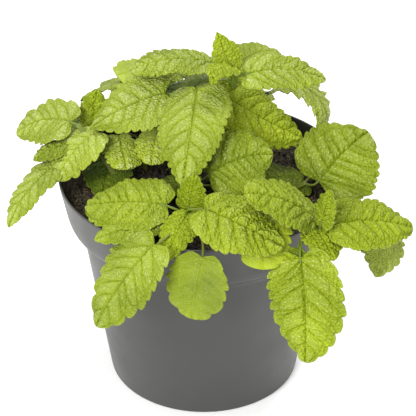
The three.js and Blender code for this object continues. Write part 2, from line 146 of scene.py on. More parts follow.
SHOOT_TABLE: dict[str, tuple[float, list[Point], list[Leaf]]] = {
    "top": (1.8, [(6, 7, 90), (8, 9, 112), (12, 13, 138), (15, 11, 158)], [
        Leaf(157, (13, 10, 158), 165, 72, 20, 13, 5, -65, 0, VEINED, 0.79, 0.3, down=0.31),
        Leaf(157, (14, 8, 161), -130, 30, 19, 14, 40, -5, 0, YOUNG, 0.92, down=0.25),
        Leaf(153, (19, 7, 158), 4, 17, 40, 24, 47, 14, 0, QUILTED, 0.66, down=0.73),
        Leaf(153, (4, 18, 158), 182, 20, 40, 23, 43, -3, 13, YOUNG, 0.60, 0.44, down=0.82),
        Leaf(144, (-3, 7, 151), -94, -2, 55, 33, 58, 11, -10, VEINED, 0.52, 0.35, down=0.65),
        Leaf(150, (-18, 6, 149), 184, -14, 41, 33, 26, -24, 0, VEINED, 0.51, 0.28, down=1),
        Leaf(150, (4, 17, 148), 160, -4, 23, 24, 25, 0, 0, VEINED, 0.15),
        Leaf(147, (4, 6, 152), 3, -39, 54, 32, -8, 31, 8, QUILTED, 0.82, down=0.03),
    ]),
    "back_left": (1.6, [(-20, 30, 90), (-22, 34, 112), (-26, 40, 130), (-28, 43, 138)], [
        Leaf(132, (-20, 34, 141), 163, -3, 48, 25, 40, 18, 0, VEINED, 0.42, down=0.9),
        Leaf(137, (-25, 43, 142), -156, 12, 19, 21, 22, -10, 0, SMOOTH, 0.64, 0.5, down=0.57),
        Leaf(128, (-18, 37, 134), -25, 2, 32, 24, 30, 0, 0, COARSE, 0.11),
        Leaf(137, (-27, 48, 138), 85, 0, 26, 18, 40, 0, 0, YOUNG, 0.46),
        Leaf(126, (-33, 53, 125), 110, 5, 38, 28, 50, 0, 0, COARSE, 0.38),
    ]),
    "back_right": (1.6, [(24, 24, 90), (24, 28, 112), (22, 32, 134), (20, 33, 144)], [
        Leaf(143, (17, 32, 151), 35, 24, 27, 24, 60, 7, 0, VEINED, 0.50, down=0.6),
        Leaf(131, (34, 37, 134), -30, 48, 64, 19, 225, 0, 20, VEINED, 0.64, 0.5, 2, down=1, tooth=6.5),
        Leaf(136, (15, 42, 137), 100, 8, 36, 26, 60, 0, 0, COARSE, 0.38),
    ]),
    "back": (1.6, [(-4, 48, 90), (-4, 51, 108), (-6, 57, 120), (-7, 61, 127)], [
        Leaf(126, (-8, 66, 126), 85, 12, 30, 20, 50, 0, 0, YOUNG, 0.54),
        Leaf(125, (-12, 60, 130), -165, 20, 20, 15, 50, 0, 0, YOUNG, 0.54),
        Leaf(118, (8, 64, 117), 35, 5, 38, 28, 50, 0, 0, COARSE, 0.42),
        Leaf(116, (-20, 66, 117), 140, 5, 38, 30, 50, 0, 0, COARSE, 0.38),
        Leaf(112, (0, 72, 114), 75, -1, 38, 26, 50, 0, 0, COARSE, 0.34),
    ]),
    "left": (1.6, [(-36, 0, 90), (-43, 0, 108), (-53, 6, 122), (-60, 9, 130)], [
        Leaf(129, (-63, 12, 130), 160, 8, 32, 27, 57, -20, 15, VEINED, 0.57, down=1, tooth=5),
        Leaf(126, (-54, 21, 122), 73, 68, 18, 15, 15, 10, 0, YOUNG, 0.68, down=0.2),
        Leaf(118, (-50, 4, 129), -152, -16, 32, 28, 38, 5, 25, VEINED, 0.78, down=1, tooth=5.4),
        Leaf(118, (-65, 1, 116), -137, 0, 46, 18, 54, 5, 10, VEINED, 0.60, down=1, tooth=5.4),
        Leaf(122, (-64, 3, 123), -160, 0, 19, 14, 33, -5, 0, YOUNG, 0.46, down=0.6, tooth=3),
        Leaf(104, (-45, 12, 112), -97, -11, 27, 23, 17, 0, 0, VEINED, 0.04, down=0, tooth=5),
        Leaf(120, (-60, 26, 118), 120, 5, 32, 26, 50, 0, 0, COARSE, 0.38),
    ]),
    "mid_left": (1.3, [(-27, 14, 90), (-29, 15, 106), (-31, 16, 118)], [
        Leaf(116, (-40, 6, 126), -77, -14, 20, 18, 26, -8, 0, VEINED, 0.82, 0.5, down=1),
        Leaf(116, (-22, 10, 127), -98, -12, 21, 17, 27, -7, 0, VEINED, 0.99, 0.45, down=1),
    ]),
    "mid": (1.4, [(8, -12, 90), (6, -12, 106), (3, -13, 114)], [
        Leaf(112, (2, -28, 125), 15, 33, 32, 37, 40, 26, -8, QUILTED, 0.46, down=0.37, tooth=4.5),
        Leaf(107, (-3, -12, 110), 165, 0, 24, 18, 20, 0, 0, COARSE, 0.19),
    ]),
    "front": (1.6, [(-6, -32, 90), (-7, -38, 104), (-8, -45, 114)], [
        Leaf(112, (-17, -46, 120), 166, 1, 40, 33, 25, -15, -5, QUILTED, 0.55, 0.4, down=0.21),
        Leaf(113, (-7, -45, 115), 60, 79, 18, 14, 15, 3, 0, YOUNG, 0.55, down=0),
        Leaf(113, (-7, -50, 118), -112, -4, 29, 15, 33, -7, 0, YOUNG, 0.73, down=0),
        Leaf(112, (0, -60, 127), -27, -9, 40, 33, 20, 12, 17, QUILTED, 0.64, down=0.17),
        Leaf(102, (-22, -71, 115), -153, -38, 46, 32, 24, -10, 0, VEINED, 0.49, 0.38, down=0.43, tooth=5.5),
        Leaf(106, (-1, -77, 112), -115, -46, 29, 28, 42, 5, 5, SMOOTH, 0.37, 0.45, down=0, tooth=7),
        Leaf(106, (-20, -50, 115), -162, -3, 31, 19, 14, -10, 0, VEINED, 0.55, down=0.35, tooth=4.2),
    ]),
    "right": (1.6, [(36, -34, 90), (40, -42, 106), (48, -54, 115), (52, -61, 119)], [
        Leaf(117, (56, -63, 120), 11, 8, 40, 31, 36, 14, 0, QUILTED, 0.59, down=0),
        Leaf(112, (51, -55, 116), -174, 52, 40, 27, 44, -15, 10, QUILTED, 0.56, 0.44, down=0.12),
        Leaf(118, (51, -65, 120), 30, 82, 18, 14, 14, 0, 0, YOUNG, 0.61, down=0.15),
        Leaf(116, (50, -60, 116), -73, 2, 20, 18, 35, -8, 10, YOUNG, 0.76, down=0, tooth=4.2),
        Leaf(112, (42, -75, 110), -71, -62, 51, 35, 28, 36, -18, QUILTED, 0.68, down=0.17, tooth=5.8),
        Leaf(114, (67, -61, 115), 35, -5, 41, 24, 120, -22, 10, QUILTED, 0.50, down=0.1, tooth=5),
        Leaf(112, (41, -70, 112), -105, -45, 8, 8, 20, 0, 0, VEINED, 0.38),
        Leaf(104, (27, -47, 117), -92, 16, 34, 24, 82, 0, 0, SMOOTH, 0.79, 0.5, down=0, tooth=7),
    ]),
    "right_back": (1.5, [(36, -6, 90), (42, -10, 104), (48, -15, 112)], [
        Leaf(110, (53, -20, 116), 28, 50, 34, 46, 34, 16, 8, QUILTED, 0.51, down=0.35),
        Leaf(106, (48, -2, 106), -158, 22, 28, 26, 18, -7, 0, VEINED, 0.33, down=0, tooth=5),
        Leaf(108, (54, -3, 114), 50, 12, 26, 20, 30, 0, 0, COARSE, 0.19),
    ]),
}


def random_numbers(seed: int) -> Iterator[float]:
    """Even random numbers from 0 to 1, the same at every run.

    Args:
        seed: Where the row of numbers starts.

    Returns:
        An endless row of numbers.
    """
    span = 2**32
    state = seed
    while True:
        state = (state * 1664525 + 1013904223) % span
        yield state / span


def smooth_step(low: float, high: float, value: Array) -> Array:
    """Rises smoothly from 0 at low to 1 at high.

    Args:
        low: Where the rise starts.
        high: Where it ends.
        value: The places asked for.

    Returns:
        The share at each place.
    """
    share = np.clip((value - low) / (high - low), 0, 1)
    return share * share * (3 - 2 * share)


def ridge(gap: Array, width: float | Array) -> Array:
    """A rounded ridge: 1 where the distance from its middle is 0, and nearly 0 from twice its width on."""
    return np.exp(-((gap / width) ** 2))


def cell_gap(across: Array, along: Array, seed: int) -> Array:
    """Distance from the nearest border between irregular cells of about unit size.

    Args:
        across: First coordinate of each place, in cells.
        along: Second coordinate, in cells.
        seed: Picks the pattern of cells.

    Returns:
        About 0 on a border and up to about 1 in the middle of a cell.
    """
    low = np.array([across.min(), along.min()]) - 2
    shape = (np.array([across.max(), along.max()]) - low + 4).astype(int)
    jitter = np.random.default_rng(seed).uniform(*CELL_JITTER, (*shape, 2))
    a = across - math.floor(low[0])
    b = along - math.floor(low[1])
    first = np.full(a.shape, FAR)
    second = first.copy()
    for step_a in (-1, 0, 1):
        for step_b in (-1, 0, 1):
            i = np.clip(np.floor(a).astype(int) + step_a, 0, shape[0] - 1)
            j = np.clip(np.floor(b).astype(int) + step_b, 0, shape[1] - 1)
            gap = np.hypot(i + jitter[i, j, 0] - a, j + jitter[i, j, 1] - b)
            second = np.minimum(second, np.maximum(first, gap))
            first = np.minimum(first, gap)
    return second - first


def closer(first: Array, second: Array) -> Array:
    """Whichever of two signed distances is nearer to zero at each place."""
    return np.where(np.abs(second) < np.abs(first), second, first)


def heading_vector(heading: Array, rise: Array) -> Array:
    """Unit vectors from headings, from +X towards +Y, and rises above level."""
    h, r = np.radians(heading), np.radians(rise)
    return np.stack([np.cos(r) * np.cos(h), np.cos(r) * np.sin(h), np.sin(r)], axis=-1)


def through(points: list[Point], steps: int) -> Array:
    """A smooth line through a few points.

    Args:
        points: What the line passes through.
        steps: How many pieces it is cut into.

    Returns:
        steps + 1 points.
    """
    path = np.array(points, float)
    ends = np.vstack([2 * path[0] - path[1], path, 2 * path[-1] - path[-2]])
    at = np.linspace(0, len(path) - 1, steps + 1)
    piece = np.minimum(at.astype(int), len(path) - 2)
    t = (at - piece)[:, None]
    p0, p1, p2, p3 = (ends[piece + k] for k in range(4))
    bend = (2 * p0 - 5 * p1 + 4 * p2 - p3) * t**2
    twist = (3 * p1 - p0 - 3 * p2 + p3) * t**3
    return 0.5 * (2 * p1 + (p2 - p0) * t + bend + twist)


def bezier(corners: list[Array], steps: int) -> Array:
    """A cubic curve drawn towards its two inner corners.

    Args:
        corners: Its four corners.
        steps: How many pieces it is cut into.

    Returns:
        steps + 1 points.
    """
    t = np.linspace(0, 1, steps + 1)[:, None]
    weights = ((1 - t) ** 3, 3 * t * (1 - t) ** 2, 3 * t**2 * (1 - t), t**3)
    return sum(w * c for w, c in zip(weights, corners))


def circle(sides: int, lobes: int = 0, depth: float = 0) -> Array:
    """A ring of points of unit radius, drawn in between its lobes.

    Args:
        sides: Points in the ring.
        lobes: How many ridges stand out on it.
        depth: How far it is drawn in between them, as a share of the radius.

    Returns:
        One row of two coordinates for each point.
    """
    angle = np.arange(sides) * 2 * np.pi / sides
    radius = 1 - depth * (0.5 - 0.5 * np.cos(lobes * angle))
    return np.stack([radius * np.cos(angle), radius * np.sin(angle)], axis=-1)


def turned(profile: Array, sides: int) -> Array:
    """Points of a surface turned about the Z axis.

    Args:
        profile: Radius and height of each ring.
        sides: Points in a ring.

    Returns:
        One row for each point, ring after ring.
    """
    flat = (profile[:, None, :1] * circle(sides)).reshape(-1, 2)
    return np.column_stack([flat, np.repeat(profile[:, 1], sides)])


def grid_faces(rows: int, columns: int, closed: bool = False, flip: bool = False) -> Array:
    """Four-cornered faces of a grid of points.

    Args:
        rows: Points one way.
        columns: Points the other way.
        closed: Whether the last column joins the first.
        flip: Whether the faces look the other way.

    Returns:
        One row of four point indices for each face.
    """
    i = np.arange(rows - 1)[:, None] * columns
    j = np.arange(columns if closed else columns - 1)
    k = (j + 1) % columns
    quads = np.stack([i + j, i + k, i + columns + k, i + columns + j], axis=-1).reshape(-1, 4)
    return quads[:, ::-1] if flip else quads


def closed_tube(rows: int, sides: int) -> list[Array]:
    """Faces of a tube of rings of points, closed by one flat face at each end."""
    caps = np.vstack([np.arange(sides)[::-1], np.arange(sides) + (rows - 1) * sides])
    return [grid_faces(rows, sides, closed=True), caps]


def tube(line: Array, radius: Array, outline: Array) -> tuple[Array, list[Array]]:
    """A closed tube along a line.

    Args:
        line: Points of its middle.
        radius: Radius at each point.
        outline: Ring of points of unit radius that gives the section.

    Returns:
        Its points and its faces.
    """
    along = np.gradient(line, axis=0)
    along /= np.linalg.norm(along, axis=1, keepdims=True)
    side = np.cross(along[0], SIDE_HINT)
    sides = []
    for direction in along:
        side = side - direction * side.dot(direction)
        side = side / np.linalg.norm(side)
        sides.append(side)
    first = np.array(sides)
    second = np.cross(along, first)
    ring = outline[None, :, :1] * first[:, None] + outline[None, :, 1:] * second[:, None]
    points = (line[:, None] + ring * radius[:, None, None]).reshape(-1, 3)
    return points, closed_tube(len(line), len(outline))


@dataclass
class MeshParts:
    """Points, faces and marks of one piece while it is put together, in millimetres."""

    points: list[Array] = field(default_factory=list)
    faces: list[Array] = field(default_factory=list)
    slots: list[int] = field(default_factory=list)
    marks: list[Marks] = field(default_factory=list)
    count: int = 0

    def add(self, points: Array, faces: list[Array], slot: int = 0, **marks: Array | float) -> None:
        """Adds a body.

        Args:
            points: Its points, one row each.
            faces: Arrays of faces with equally many corners, as indices into points.
            slot: The material slot of its faces.
            marks: Values kept on its points for the materials, 0 where a body has none.
        """
        for group in faces:
            self.faces.append(group + self.count)
            self.slots.append(slot)
        self.points.append(points)
        self.marks.append(marks)
        self.count += len(points)

    def build(self, name: str, finishes: list["Finish"], smooth: bool = True) -> Piece:
        """Makes the object.

        Args:
            name: The piece's name.
            finishes: What its material slots hold, in order.
            smooth: Whether its faces are shaded smooth.

        Returns:
            The new object, in metres.
        """
        mesh = bpy.data.meshes.new(name)
        places = np.concatenate(self.points) * MM
        mesh.vertices.add(len(places))
        mesh.vertices.foreach_set("co", places.astype(np.float32).ravel())
        corners = np.concatenate([group.ravel() for group in self.faces])
        sizes = np.concatenate([np.full(len(group), group.shape[1]) for group in self.faces])
        slots = np.concatenate([np.full(len(group), slot) for group, slot in zip(self.faces, self.slots)])
        mesh.loops.add(len(corners))
        mesh.loops.foreach_set("vertex_index", corners.astype(np.int32))
        mesh.polygons.add(len(sizes))
        mesh.polygons.foreach_set("loop_start", (np.cumsum(sizes) - sizes).astype(np.int32))
        mesh.polygons.foreach_set("material_index", slots.astype(np.int32))
        mesh.polygons.foreach_set("use_smooth", np.full(len(sizes), smooth))
        self.keep_marks(mesh)
        mesh.update(calc_edges=True)
        mesh.validate()
        for finish in finishes:
            mesh.materials.append(finish.material())
        piece = bpy.data.objects.new(name, mesh)
        bpy.context.scene.collection.objects.link(piece)
        return piece

    def keep_marks(self, mesh: bpy.types.Mesh) -> None:
        """Writes the marks of all bodies on the mesh.

        Args:
            mesh: The mesh, with its points.
        """
        for mark in sorted(set().union(*self.marks)):
            bodies = zip(self.marks, self.points)
            values = [np.broadcast_to(own.get(mark, 0.0), len(points)) for own, points in bodies]
            layer = mesh.attributes.new(mark, "FLOAT", "POINT")
            layer.data.foreach_set("value", np.concatenate(values).astype(np.float32))


@dataclass
class NodeBoard:
    """A node tree while it is being filled."""

    tree: bpy.types.NodeTree

    def add(self, kind: str, given: dict[str, object] | None = None, **settings: object) -> Node:
        """Adds a node.

        Args:
            kind: Blender's name for it, without ShaderNode.
            given: What its inputs get, by their names.
            settings: Its settings.

        Returns:
            The new node.
        """
        node = self.tree.nodes.new("ShaderNode" + kind)
        for name, value in settings.items():
            setattr(node, name, value)
        for name, value in (given or {}).items():
            self.feed(node.inputs[name], value)
        return node

    def feed(self, socket: Socket, value: object) -> None:
        """Gives a socket a value, or joins it to another node's output.

        Args:
            socket: The socket.
            value: A number, a colour or another node's output.
        """
        if isinstance(value, Socket):
            self.tree.links.new(value, socket)
        else:
            socket.default_value = (*value, 1.0) if isinstance(value, tuple) else value

    def mark(self, name: str) -> Socket:
        """Reads a value kept on the mesh."""
        return self.add("Attribute", attribute_name=name).outputs["Fac"]

    def mix(self, share: object, first: object, second: object) -> Socket:
        """Mixes two colours, by how much of the second there is."""
        given = {"Factor": share, "A": first, "B": second}
        return self.add("Mix", given, data_type="RGBA").outputs["Result"]

    def math(self, how: str, first: object, second: object) -> Socket:
        """Joins two numbers. Sums are kept from 0 to 1.

        Args:
            how: Blender's name for the way.
            first: A number or a socket.
            second: A number or a socket.

        Returns:
            The result's socket.
        """
        node = self.add("Math", operation=how, use_clamp=how == "ADD")
        self.feed(node.inputs[0], first)
        self.feed(node.inputs[1], second)
        return node.outputs[0]

    def times(self, first: object, second: object) -> Socket:
        """Multiplies two numbers."""
        return self.math("MULTIPLY", first, second)

    def plus(self, first: object, second: object) -> Socket:
        """Adds two numbers, and keeps the sum from 0 to 1."""
        return self.math("ADD", first, second)

    def fade(self, value: object, far: float, near: float = 0.0) -> Socket:
        """Falls smoothly from 1 to 0 as a distance grows.

        Args:
            value: The distance.
            far: Where the result gets to 0.
            near: Up to where it is 1.

        Returns:
            The result's socket.
        """
        given = {"Value": value, "From Min": near, "From Max": far, "To Min": 1.0, "To Max": 0.0}
        return self.add("MapRange", given, interpolation_type="SMOOTHSTEP").outputs["Result"]

    def effect(self, kind: type["Effect"], given: dict[str, object]) -> Outputs:
        """Places the node group of an effect.

        Args:
            kind: The effect.
            given: What its inputs get, by their names.

        Returns:
            Its outputs by name.
        """
        return self.add("Group", given, node_tree=kind().tree()).outputs

    def mottle(self, scale: float, low: float, high: float, detail: float = 3.0) -> Socket:
        """Places soft cloudy variation.

        Args:
            scale: How fine it is.
            low: Its value in the hollows.
            high: Its value on the tops.
            detail: How rough its clouds are.

        Returns:
            Its value's socket.
        """
        return self.effect(Mottle, {"Scale": scale, "Detail": detail, "Low": low, "High": high})["Value"]


@dataclass
class Surface(NodeBoard):
    """A material's node tree while it is being filled, with its Principled shader."""

    shader: Node

    def dress(self, color: object, rough: object) -> None:
        """Joins a colour and a roughness to the shader."""
        self.feed(self.shader.inputs["Base Color"], color)
        self.feed(self.shader.inputs["Roughness"], rough)

    def raise_bump(self, height: Socket, depth: float, strength: float) -> None:
        """Joins a height to the shader's normal.

        Args:
            height: The height's socket.
            depth: Its full depth in millimetres.
            strength: How strongly it shows.
        """
        bump = self.add("Bump", {"Height": height, "Distance": depth * MM, "Strength": strength})
        self.feed(self.shader.inputs["Normal"], bump.outputs["Normal"])

    def roughen(self, scale: float, lumps: float, depth: float, strength: float) -> None:
        """Covers the surface with a fine grain.

        Args:
            scale: How fine it is.
            lumps: How much of it is rounded lumps.
            depth: Its full depth in millimetres.
            strength: How strongly it shows.
        """
        grain = self.effect(Grain, {"Scale": scale, "Coarse Share": lumps})
        self.raise_bump(grain["Height"], depth, strength)

    def fix(self, **values: object) -> None:
        """Sets constants on the shader's own sockets, named with underscores for spaces."""
        for name, value in values.items():
            self.shader.inputs[name.replace("_", " ")].default_value = value


class Effect:
    """A node group of numbers. The kinds below name its sockets and fill it."""

    name: str
    inputs: dict[str, float]
    outputs: tuple[str, ...]

    def tree(self) -> bpy.types.NodeTree:
        """Makes the node group, or finds it if it is made already.

        Returns:
            The node group.
        """
        if self.name in bpy.data.node_groups:
            return bpy.data.node_groups[self.name]
        board = NodeBoard(bpy.data.node_groups.new(self.name, "ShaderNodeTree"))
        face = board.tree.interface
        for socket, value in self.inputs.items():
            face.new_socket(socket, in_out="INPUT", socket_type="NodeSocketFloat").default_value = value
        for socket in self.outputs:
            face.new_socket(socket, in_out="OUTPUT", socket_type="NodeSocketFloat")
        given = board.tree.nodes.new("NodeGroupInput").outputs
        result = board.tree.nodes.new("NodeGroupOutput").inputs
        for socket, value in self.fill(board, given).items():
            board.feed(result[socket], value)
        return board.tree

    def fill(self, board: NodeBoard, given: Outputs) -> dict[str, Socket]:
        """Fills the group. Each kind of effect has its own.

        Args:
            board: The group's nodes.
            given: Its inputs by name.

        Returns:
            What its outputs get, by their names.
        """
        raise NotImplementedError


class Mottle(Effect):
    """Soft cloudy variation between two values."""

    name = "soft_mottle"
    inputs = {"Scale": 100.0, "Detail": 3.0, "Low": 0.0, "High": 1.0}
    outputs = ("Value",)
    hollow: float = 0.3
    top: float = 0.7

    def fill(self, board: NodeBoard, given: Outputs) -> dict[str, Socket]:
        """Spreads cloud noise between the two values.

        Args:
            board: The group's nodes.
            given: Its inputs by name.

        Returns:
            What its outputs get, by their names.
        """
        place = board.add("TexCoord").outputs["Object"]
        noise = board.add("TexNoise", {"Vector": place, "Scale": given["Scale"], "Detail": given["Detail"]})
        return {"Value": board.add("MapRange", {
            "Value": noise.outputs["Fac"],
            "From Min": self.hollow,
            "From Max": self.top,
            "To Min": given["Low"],
            "To Max": given["High"],
        }).outputs["Result"]}


class Grain(Effect):
    """Fine uneven surface with rounded lumps in it, as a height for a bump."""

    name = "fine_grain"
    inputs = {"Scale": 900.0, "Coarse Share": 0.5}
    outputs = ("Height",)
    fine_detail: float = 2.0
    lump_scale: float = 0.35

    def fill(self, board: NodeBoard, given: Outputs) -> dict[str, Socket]:
        """Mixes fine noise with coarser lumps.

        Args:
            board: The group's nodes.
            given: Its inputs by name.

        Returns:
            What its outputs get, by their names.
        """
        place = board.add("TexCoord").outputs["Object"]
        fine = board.add("TexNoise", {"Vector": place, "Scale": given["Scale"], "Detail": self.fine_detail})
        lump_scale = board.times(given["Scale"], self.lump_scale)
        lumps = board.add("TexVoronoi", {"Vector": place, "Scale": lump_scale}, feature="SMOOTH_F1")
        return {"Height": board.add("Mix", {
            "Factor": given["Coarse Share"],
            "A": fine.outputs["Fac"],
            "B": lumps.outputs["Distance"],
        }, data_type="FLOAT").outputs["Result"]}


class LeafPebbles(Effect):
    """Rounded pebbles between veins, with finer ones on them.

    Across and Along are the places on the blade in pebble sizes. Lines is the net between the pebbles, which
    the leaf darkens as painted shade, Tops is where they are highest, which it lightens as painted highlight,
    and
    Height is in the unit of Pebble Height.
    """

    name = "leaf_pebbles"
    inputs = {"Across": 0.0, "Along": 0.0, "Pebble Height": 0.3}
    outputs = ("Height", "Lines", "Tops")
    unevenness: float = 0.85
    slope: float = 0.4
    line_width: float = 0.2
    top_from: float = 0.12
    top_full: float = 0.42
    fine_scale: float = 2.3
    fine_slope: float = 0.35
    fine_height: float = 0.05

    def fill(self, board: NodeBoard, given: Outputs) -> dict[str, Socket]:
        """Shapes the pebbles from their distances to the borders between them.

        Args:
            board: The group's nodes.
            given: Its inputs by name.

        Returns:
            What its outputs get, by their names.
        """
        place = board.add("CombineXYZ", {"X": given["Across"], "Y": given["Along"]}).outputs["Vector"]
        border = self.border_gap(board, {"Vector": place, "Scale": 1.0, "Randomness": self.unevenness})
        fine_border = self.border_gap(board, {"Vector": place, "Scale": self.fine_scale})
        fine = board.times(board.fade(fine_border, self.fine_slope), self.fine_height)
        sunk = board.times(board.fade(border, self.slope), given["Pebble Height"])
        below_top = board.fade(border, self.top_full, self.top_from)
        return {
            "Height": board.math("SUBTRACT", fine, sunk),
            "Lines": board.fade(border, self.line_width),
            "Tops": board.math("SUBTRACT", 1.0, below_top),
        }

    def border_gap(self, board: NodeBoard, given: dict[str, object]) -> Socket:
        """Distance from the nearest border between flat cells, which get the given inputs."""
        settings = {"feature": "DISTANCE_TO_EDGE", "voronoi_dimensions": "2D"}
        return board.add("TexVoronoi", given, **settings).outputs["Distance"]


class LeafVeins(Effect):
    """Vein lines out of the distances from the midrib, the side veins and their branches, in millimetres."""

    name = "leaf_veins"
    widths: dict[str, float] = {"Midrib Gap": 0.36, "Side Gap": 0.26, "Branch Gap": 0.22}
    strengths: dict[str, float] = {"Midrib Gap": 0.95, "Side Gap": 0.75, "Branch Gap": 0.5}
    inputs = dict.fromkeys(widths, 1.0)
    outputs = ("Lines",)
    core: float = 0.04

    def fill(self, board: NodeBoard, given: Outputs) -> dict[str, Socket]:
        """Draws each kind of vein with its own width and strength.

        Args:
            board: The group's nodes.
            given: Its inputs by name.

        Returns:
            What its outputs get, by their names.
        """
        lines = 0.0
        for kind, width in self.widths.items():
            line = board.fade(board.math("ABSOLUTE", given[kind], 0.0), width, self.core)
            lines = board.math("MAXIMUM", board.times(line, self.strengths[kind]), lines)
        return {"Lines": lines}


@dataclass(frozen=True)
class Finish:
    """What a surface looks like. The kinds below say how their colour and relief are made."""

    name: str
    roughness: float = 0.5

    def material(self) -> bpy.types.Material:
        """Makes the material, or finds it if it is made already.

        Returns:
            The material.
        """
        if self.name in bpy.data.materials:
            return bpy.data.materials[self.name]
        made = bpy.data.materials.new(self.name)
        made.use_nodes = True
        self.paint(Surface(made.node_tree, made.node_tree.nodes["Principled BSDF"]))
        return made

    def paint(self, board: Surface) -> None:
        """Fills the material's nodes. Each kind of finish has its own.

        Args:
            board: The material's nodes.
        """
        raise NotImplementedError


@dataclass(frozen=True)
class LeafFinish(Finish):
    """Soft leaf: fresh to deep green, partly painted shade and light, with painted shade in its veins and the
    net between its pebbles, a paler underside, a margin painted lighter as light shining through, and white
    down with a painted sheen and highlights on what is raised.

    The names that end in share say how much of a colour is laid over the green. Those in least and gain give
    such a share where there is no contrast or down, and how much more it is where there is all.
    """

    # The blade's greens. The deep one also stands for leaves in shade, so the mix by tone is partly painted
    # shade and light.
    fresh: Color = (0.37, 0.46, 0.012)
    deep: Color = (0.048, 0.084, 0.002)
    # Greens of the veins and of the net between the pebbles: painted shade in their grooves, for the freshest
    # and the deepest leaves.
    groove: Color = (0.15, 0.23, 0.002)
    deep_groove_shade: Color = (0.019, 0.036, 0.001)
    # White of the down, which also paints a sheen, and the hairs' colour, which paints glints on the pebbles'
    # tops.
    down: Color = (0.455, 0.52, 0.18)
    hair_glint: Color = (0.58, 0.64, 0.30)
    underside: Color = (0.30, 0.36, 0.07)
    under_vein: Color = (0.40, 0.45, 0.13)
    # A lighter yellow-green laid along the margin: painted light, as if shining through the thin edge.
    margin: Color = (0.36, 0.43, 0.06)
    cloud: float = 0.16
    vein_least: float = 0.3
    vein_gain: float = 0.55
    vein_shade_share: float = 0.75
    vein_depth: float = 0.25
    net_shade_share: float = 0.34
    down_least: float = 0.1
    hair_glint_least: float = 0.25
    hair_glint_gain: float = 0.5
    glint_on_tops: float = 0.5
    rim_share: float = 0.35
    margin_glow_share: float = 0.6
    underside_share: float = 0.55
    shine: float = 0.16

    def paint(self, board: Surface) -> None:
        """Fills the material's nodes.

        Args:
            board: The material's nodes.
        """
        # The blade's green by each leaf's tone: its own green, partly painted shade and light.
        tone = board.plus(board.mark("tone"), board.mottle(45.0, -self.cloud, self.cloud))
        blade = board.mix(tone, self.deep, self.fresh)
        contrast = board.mark("contrast")
        pebbles = board.effect(LeafPebbles, {
            "Across": board.mark("cell_across"),
            "Along": board.mark("cell_along"),
            "Pebble Height": board.mark("pebble"),
        })
        # The veins and the net between the pebbles are darkened towards the groove greens: painted shade in
        # the grooves.
        veins = self.draw_veins(board, contrast)
        net = board.times(pebbles["Lines"], contrast)
        lines = board.plus(board.times(veins, self.vein_shade_share), board.times(net, self.net_shade_share))
        # Painted highlights on the pebbles' tops, laid on as hairs.
        tops = board.times(board.times(pebbles["Tops"], self.glint_on_tops), contrast)
        downy = self.lay_down(board, blade, board.mix(tone, blade, self.down), tops)
        groove = board.mix(tone, self.deep_groove_shade, self.groove)
        upper = board.mix(lines, downy, board.mix(board.mark("pale"), groove, self.under_vein))
        # The margin's paler line: painted light shining through the thin edge.
        rim = board.times(board.mark("rim"), self.rim_share)
        upper = board.mix(rim, upper, board.mix(self.margin_glow_share, blade, self.margin))
        lower = board.mix(self.underside_share, blade, self.underside)
        lower = board.mix(lines, lower, self.under_vein)
        rough = board.mottle(420.0, self.roughness - 0.07, self.roughness + 0.1)
        board.dress(board.mix(board.mark("under"), upper, lower), rough)
        height = board.math("SUBTRACT", pebbles["Height"], board.times(veins, self.vein_depth))
        board.raise_bump(height, depth=1.0, strength=1.0)
        board.fix(Specular_IOR_Level=self.shine)
        board.fix(Subsurface_Weight=0.1, Subsurface_Radius=(0.8, 0.8, 0.25), Subsurface_Scale=0.4 * MM)

    def draw_veins(self, board: Surface, contrast: Socket) -> Socket:
        """Draws the veins, which the leaf darkens as painted shade in their grooves, clearer where the net's
        painted shade is darker.

        Args:
            board: The material's nodes.
            contrast: How dark the net is.

        Returns:
            The veins' socket.
        """
        veins = board.effect(LeafVeins, {
            "Midrib Gap": board.mark("midrib_gap"),
            "Side Gap": board.mark("main_gap"),
            "Branch Gap": board.mark("branch_gap"),
        })["Lines"]
        return board.times(veins, board.plus(board.times(contrast, self.vein_gain), self.vein_least))

    def lay_down(self, board: Surface, blade: Socket, white: Socket, tops: Socket) -> Socket:
        """Lays white down over the green, most on what is raised, as down and painted sheen, and single hairs
        over what is raised, as painted glints and highlights.

        Args:
            board: The material's nodes.
            blade: The blade's green.
            white: Its colour under thick down, partly a painted sheen.
            tops: How much more painted highlight, laid on as hair, there is on the pebbles' tops.

        Returns:
            The downy colour's socket.
        """
        raised, down = board.mark("raised"), board.mark("down")
        # The down's white is laid on most where the surface is raised: down, and painted sheen.
        downy = board.mix(board.times(down, board.plus(raised, self.down_least)), blade, white)
        # Noise flecks and the pebbles' tops get the hairs' colour: painted glints and highlights on what is
        # raised.
        flecks = board.plus(board.mottle(1300.0, -1.3, 0.9, detail=2.0), tops)
        thick = board.plus(board.times(down, self.hair_glint_gain), self.hair_glint_least)
        return board.mix(board.times(board.times(flecks, raised), thick), downy, self.hair_glint)


@dataclass(frozen=True)
class StemFinish(Finish):
    """Downy square stem and leaf stalks: pale green, with a brown blush here and there."""

    green: Color = (0.12, 0.18, 0.01)
    blush: Color = (0.11, 0.07, 0.02)

    def paint(self, board: Surface) -> None:
        """Fills the material's nodes.

        Args:
            board: The material's nodes.
        """
        blush = board.plus(board.mark("blush"), board.mottle(160.0, -0.25, 0.3))
        rough = board.mottle(500.0, self.roughness - 0.06, self.roughness + 0.08)
        board.dress(board.mix(blush, self.green, self.blush), rough)
        board.roughen(1800.0, lumps=0.3, depth=0.12, strength=0.4)
        board.fix(Subsurface_Weight=0.15, Subsurface_Radius=(0.9, 1.0, 0.3), Subsurface_Scale=MM)


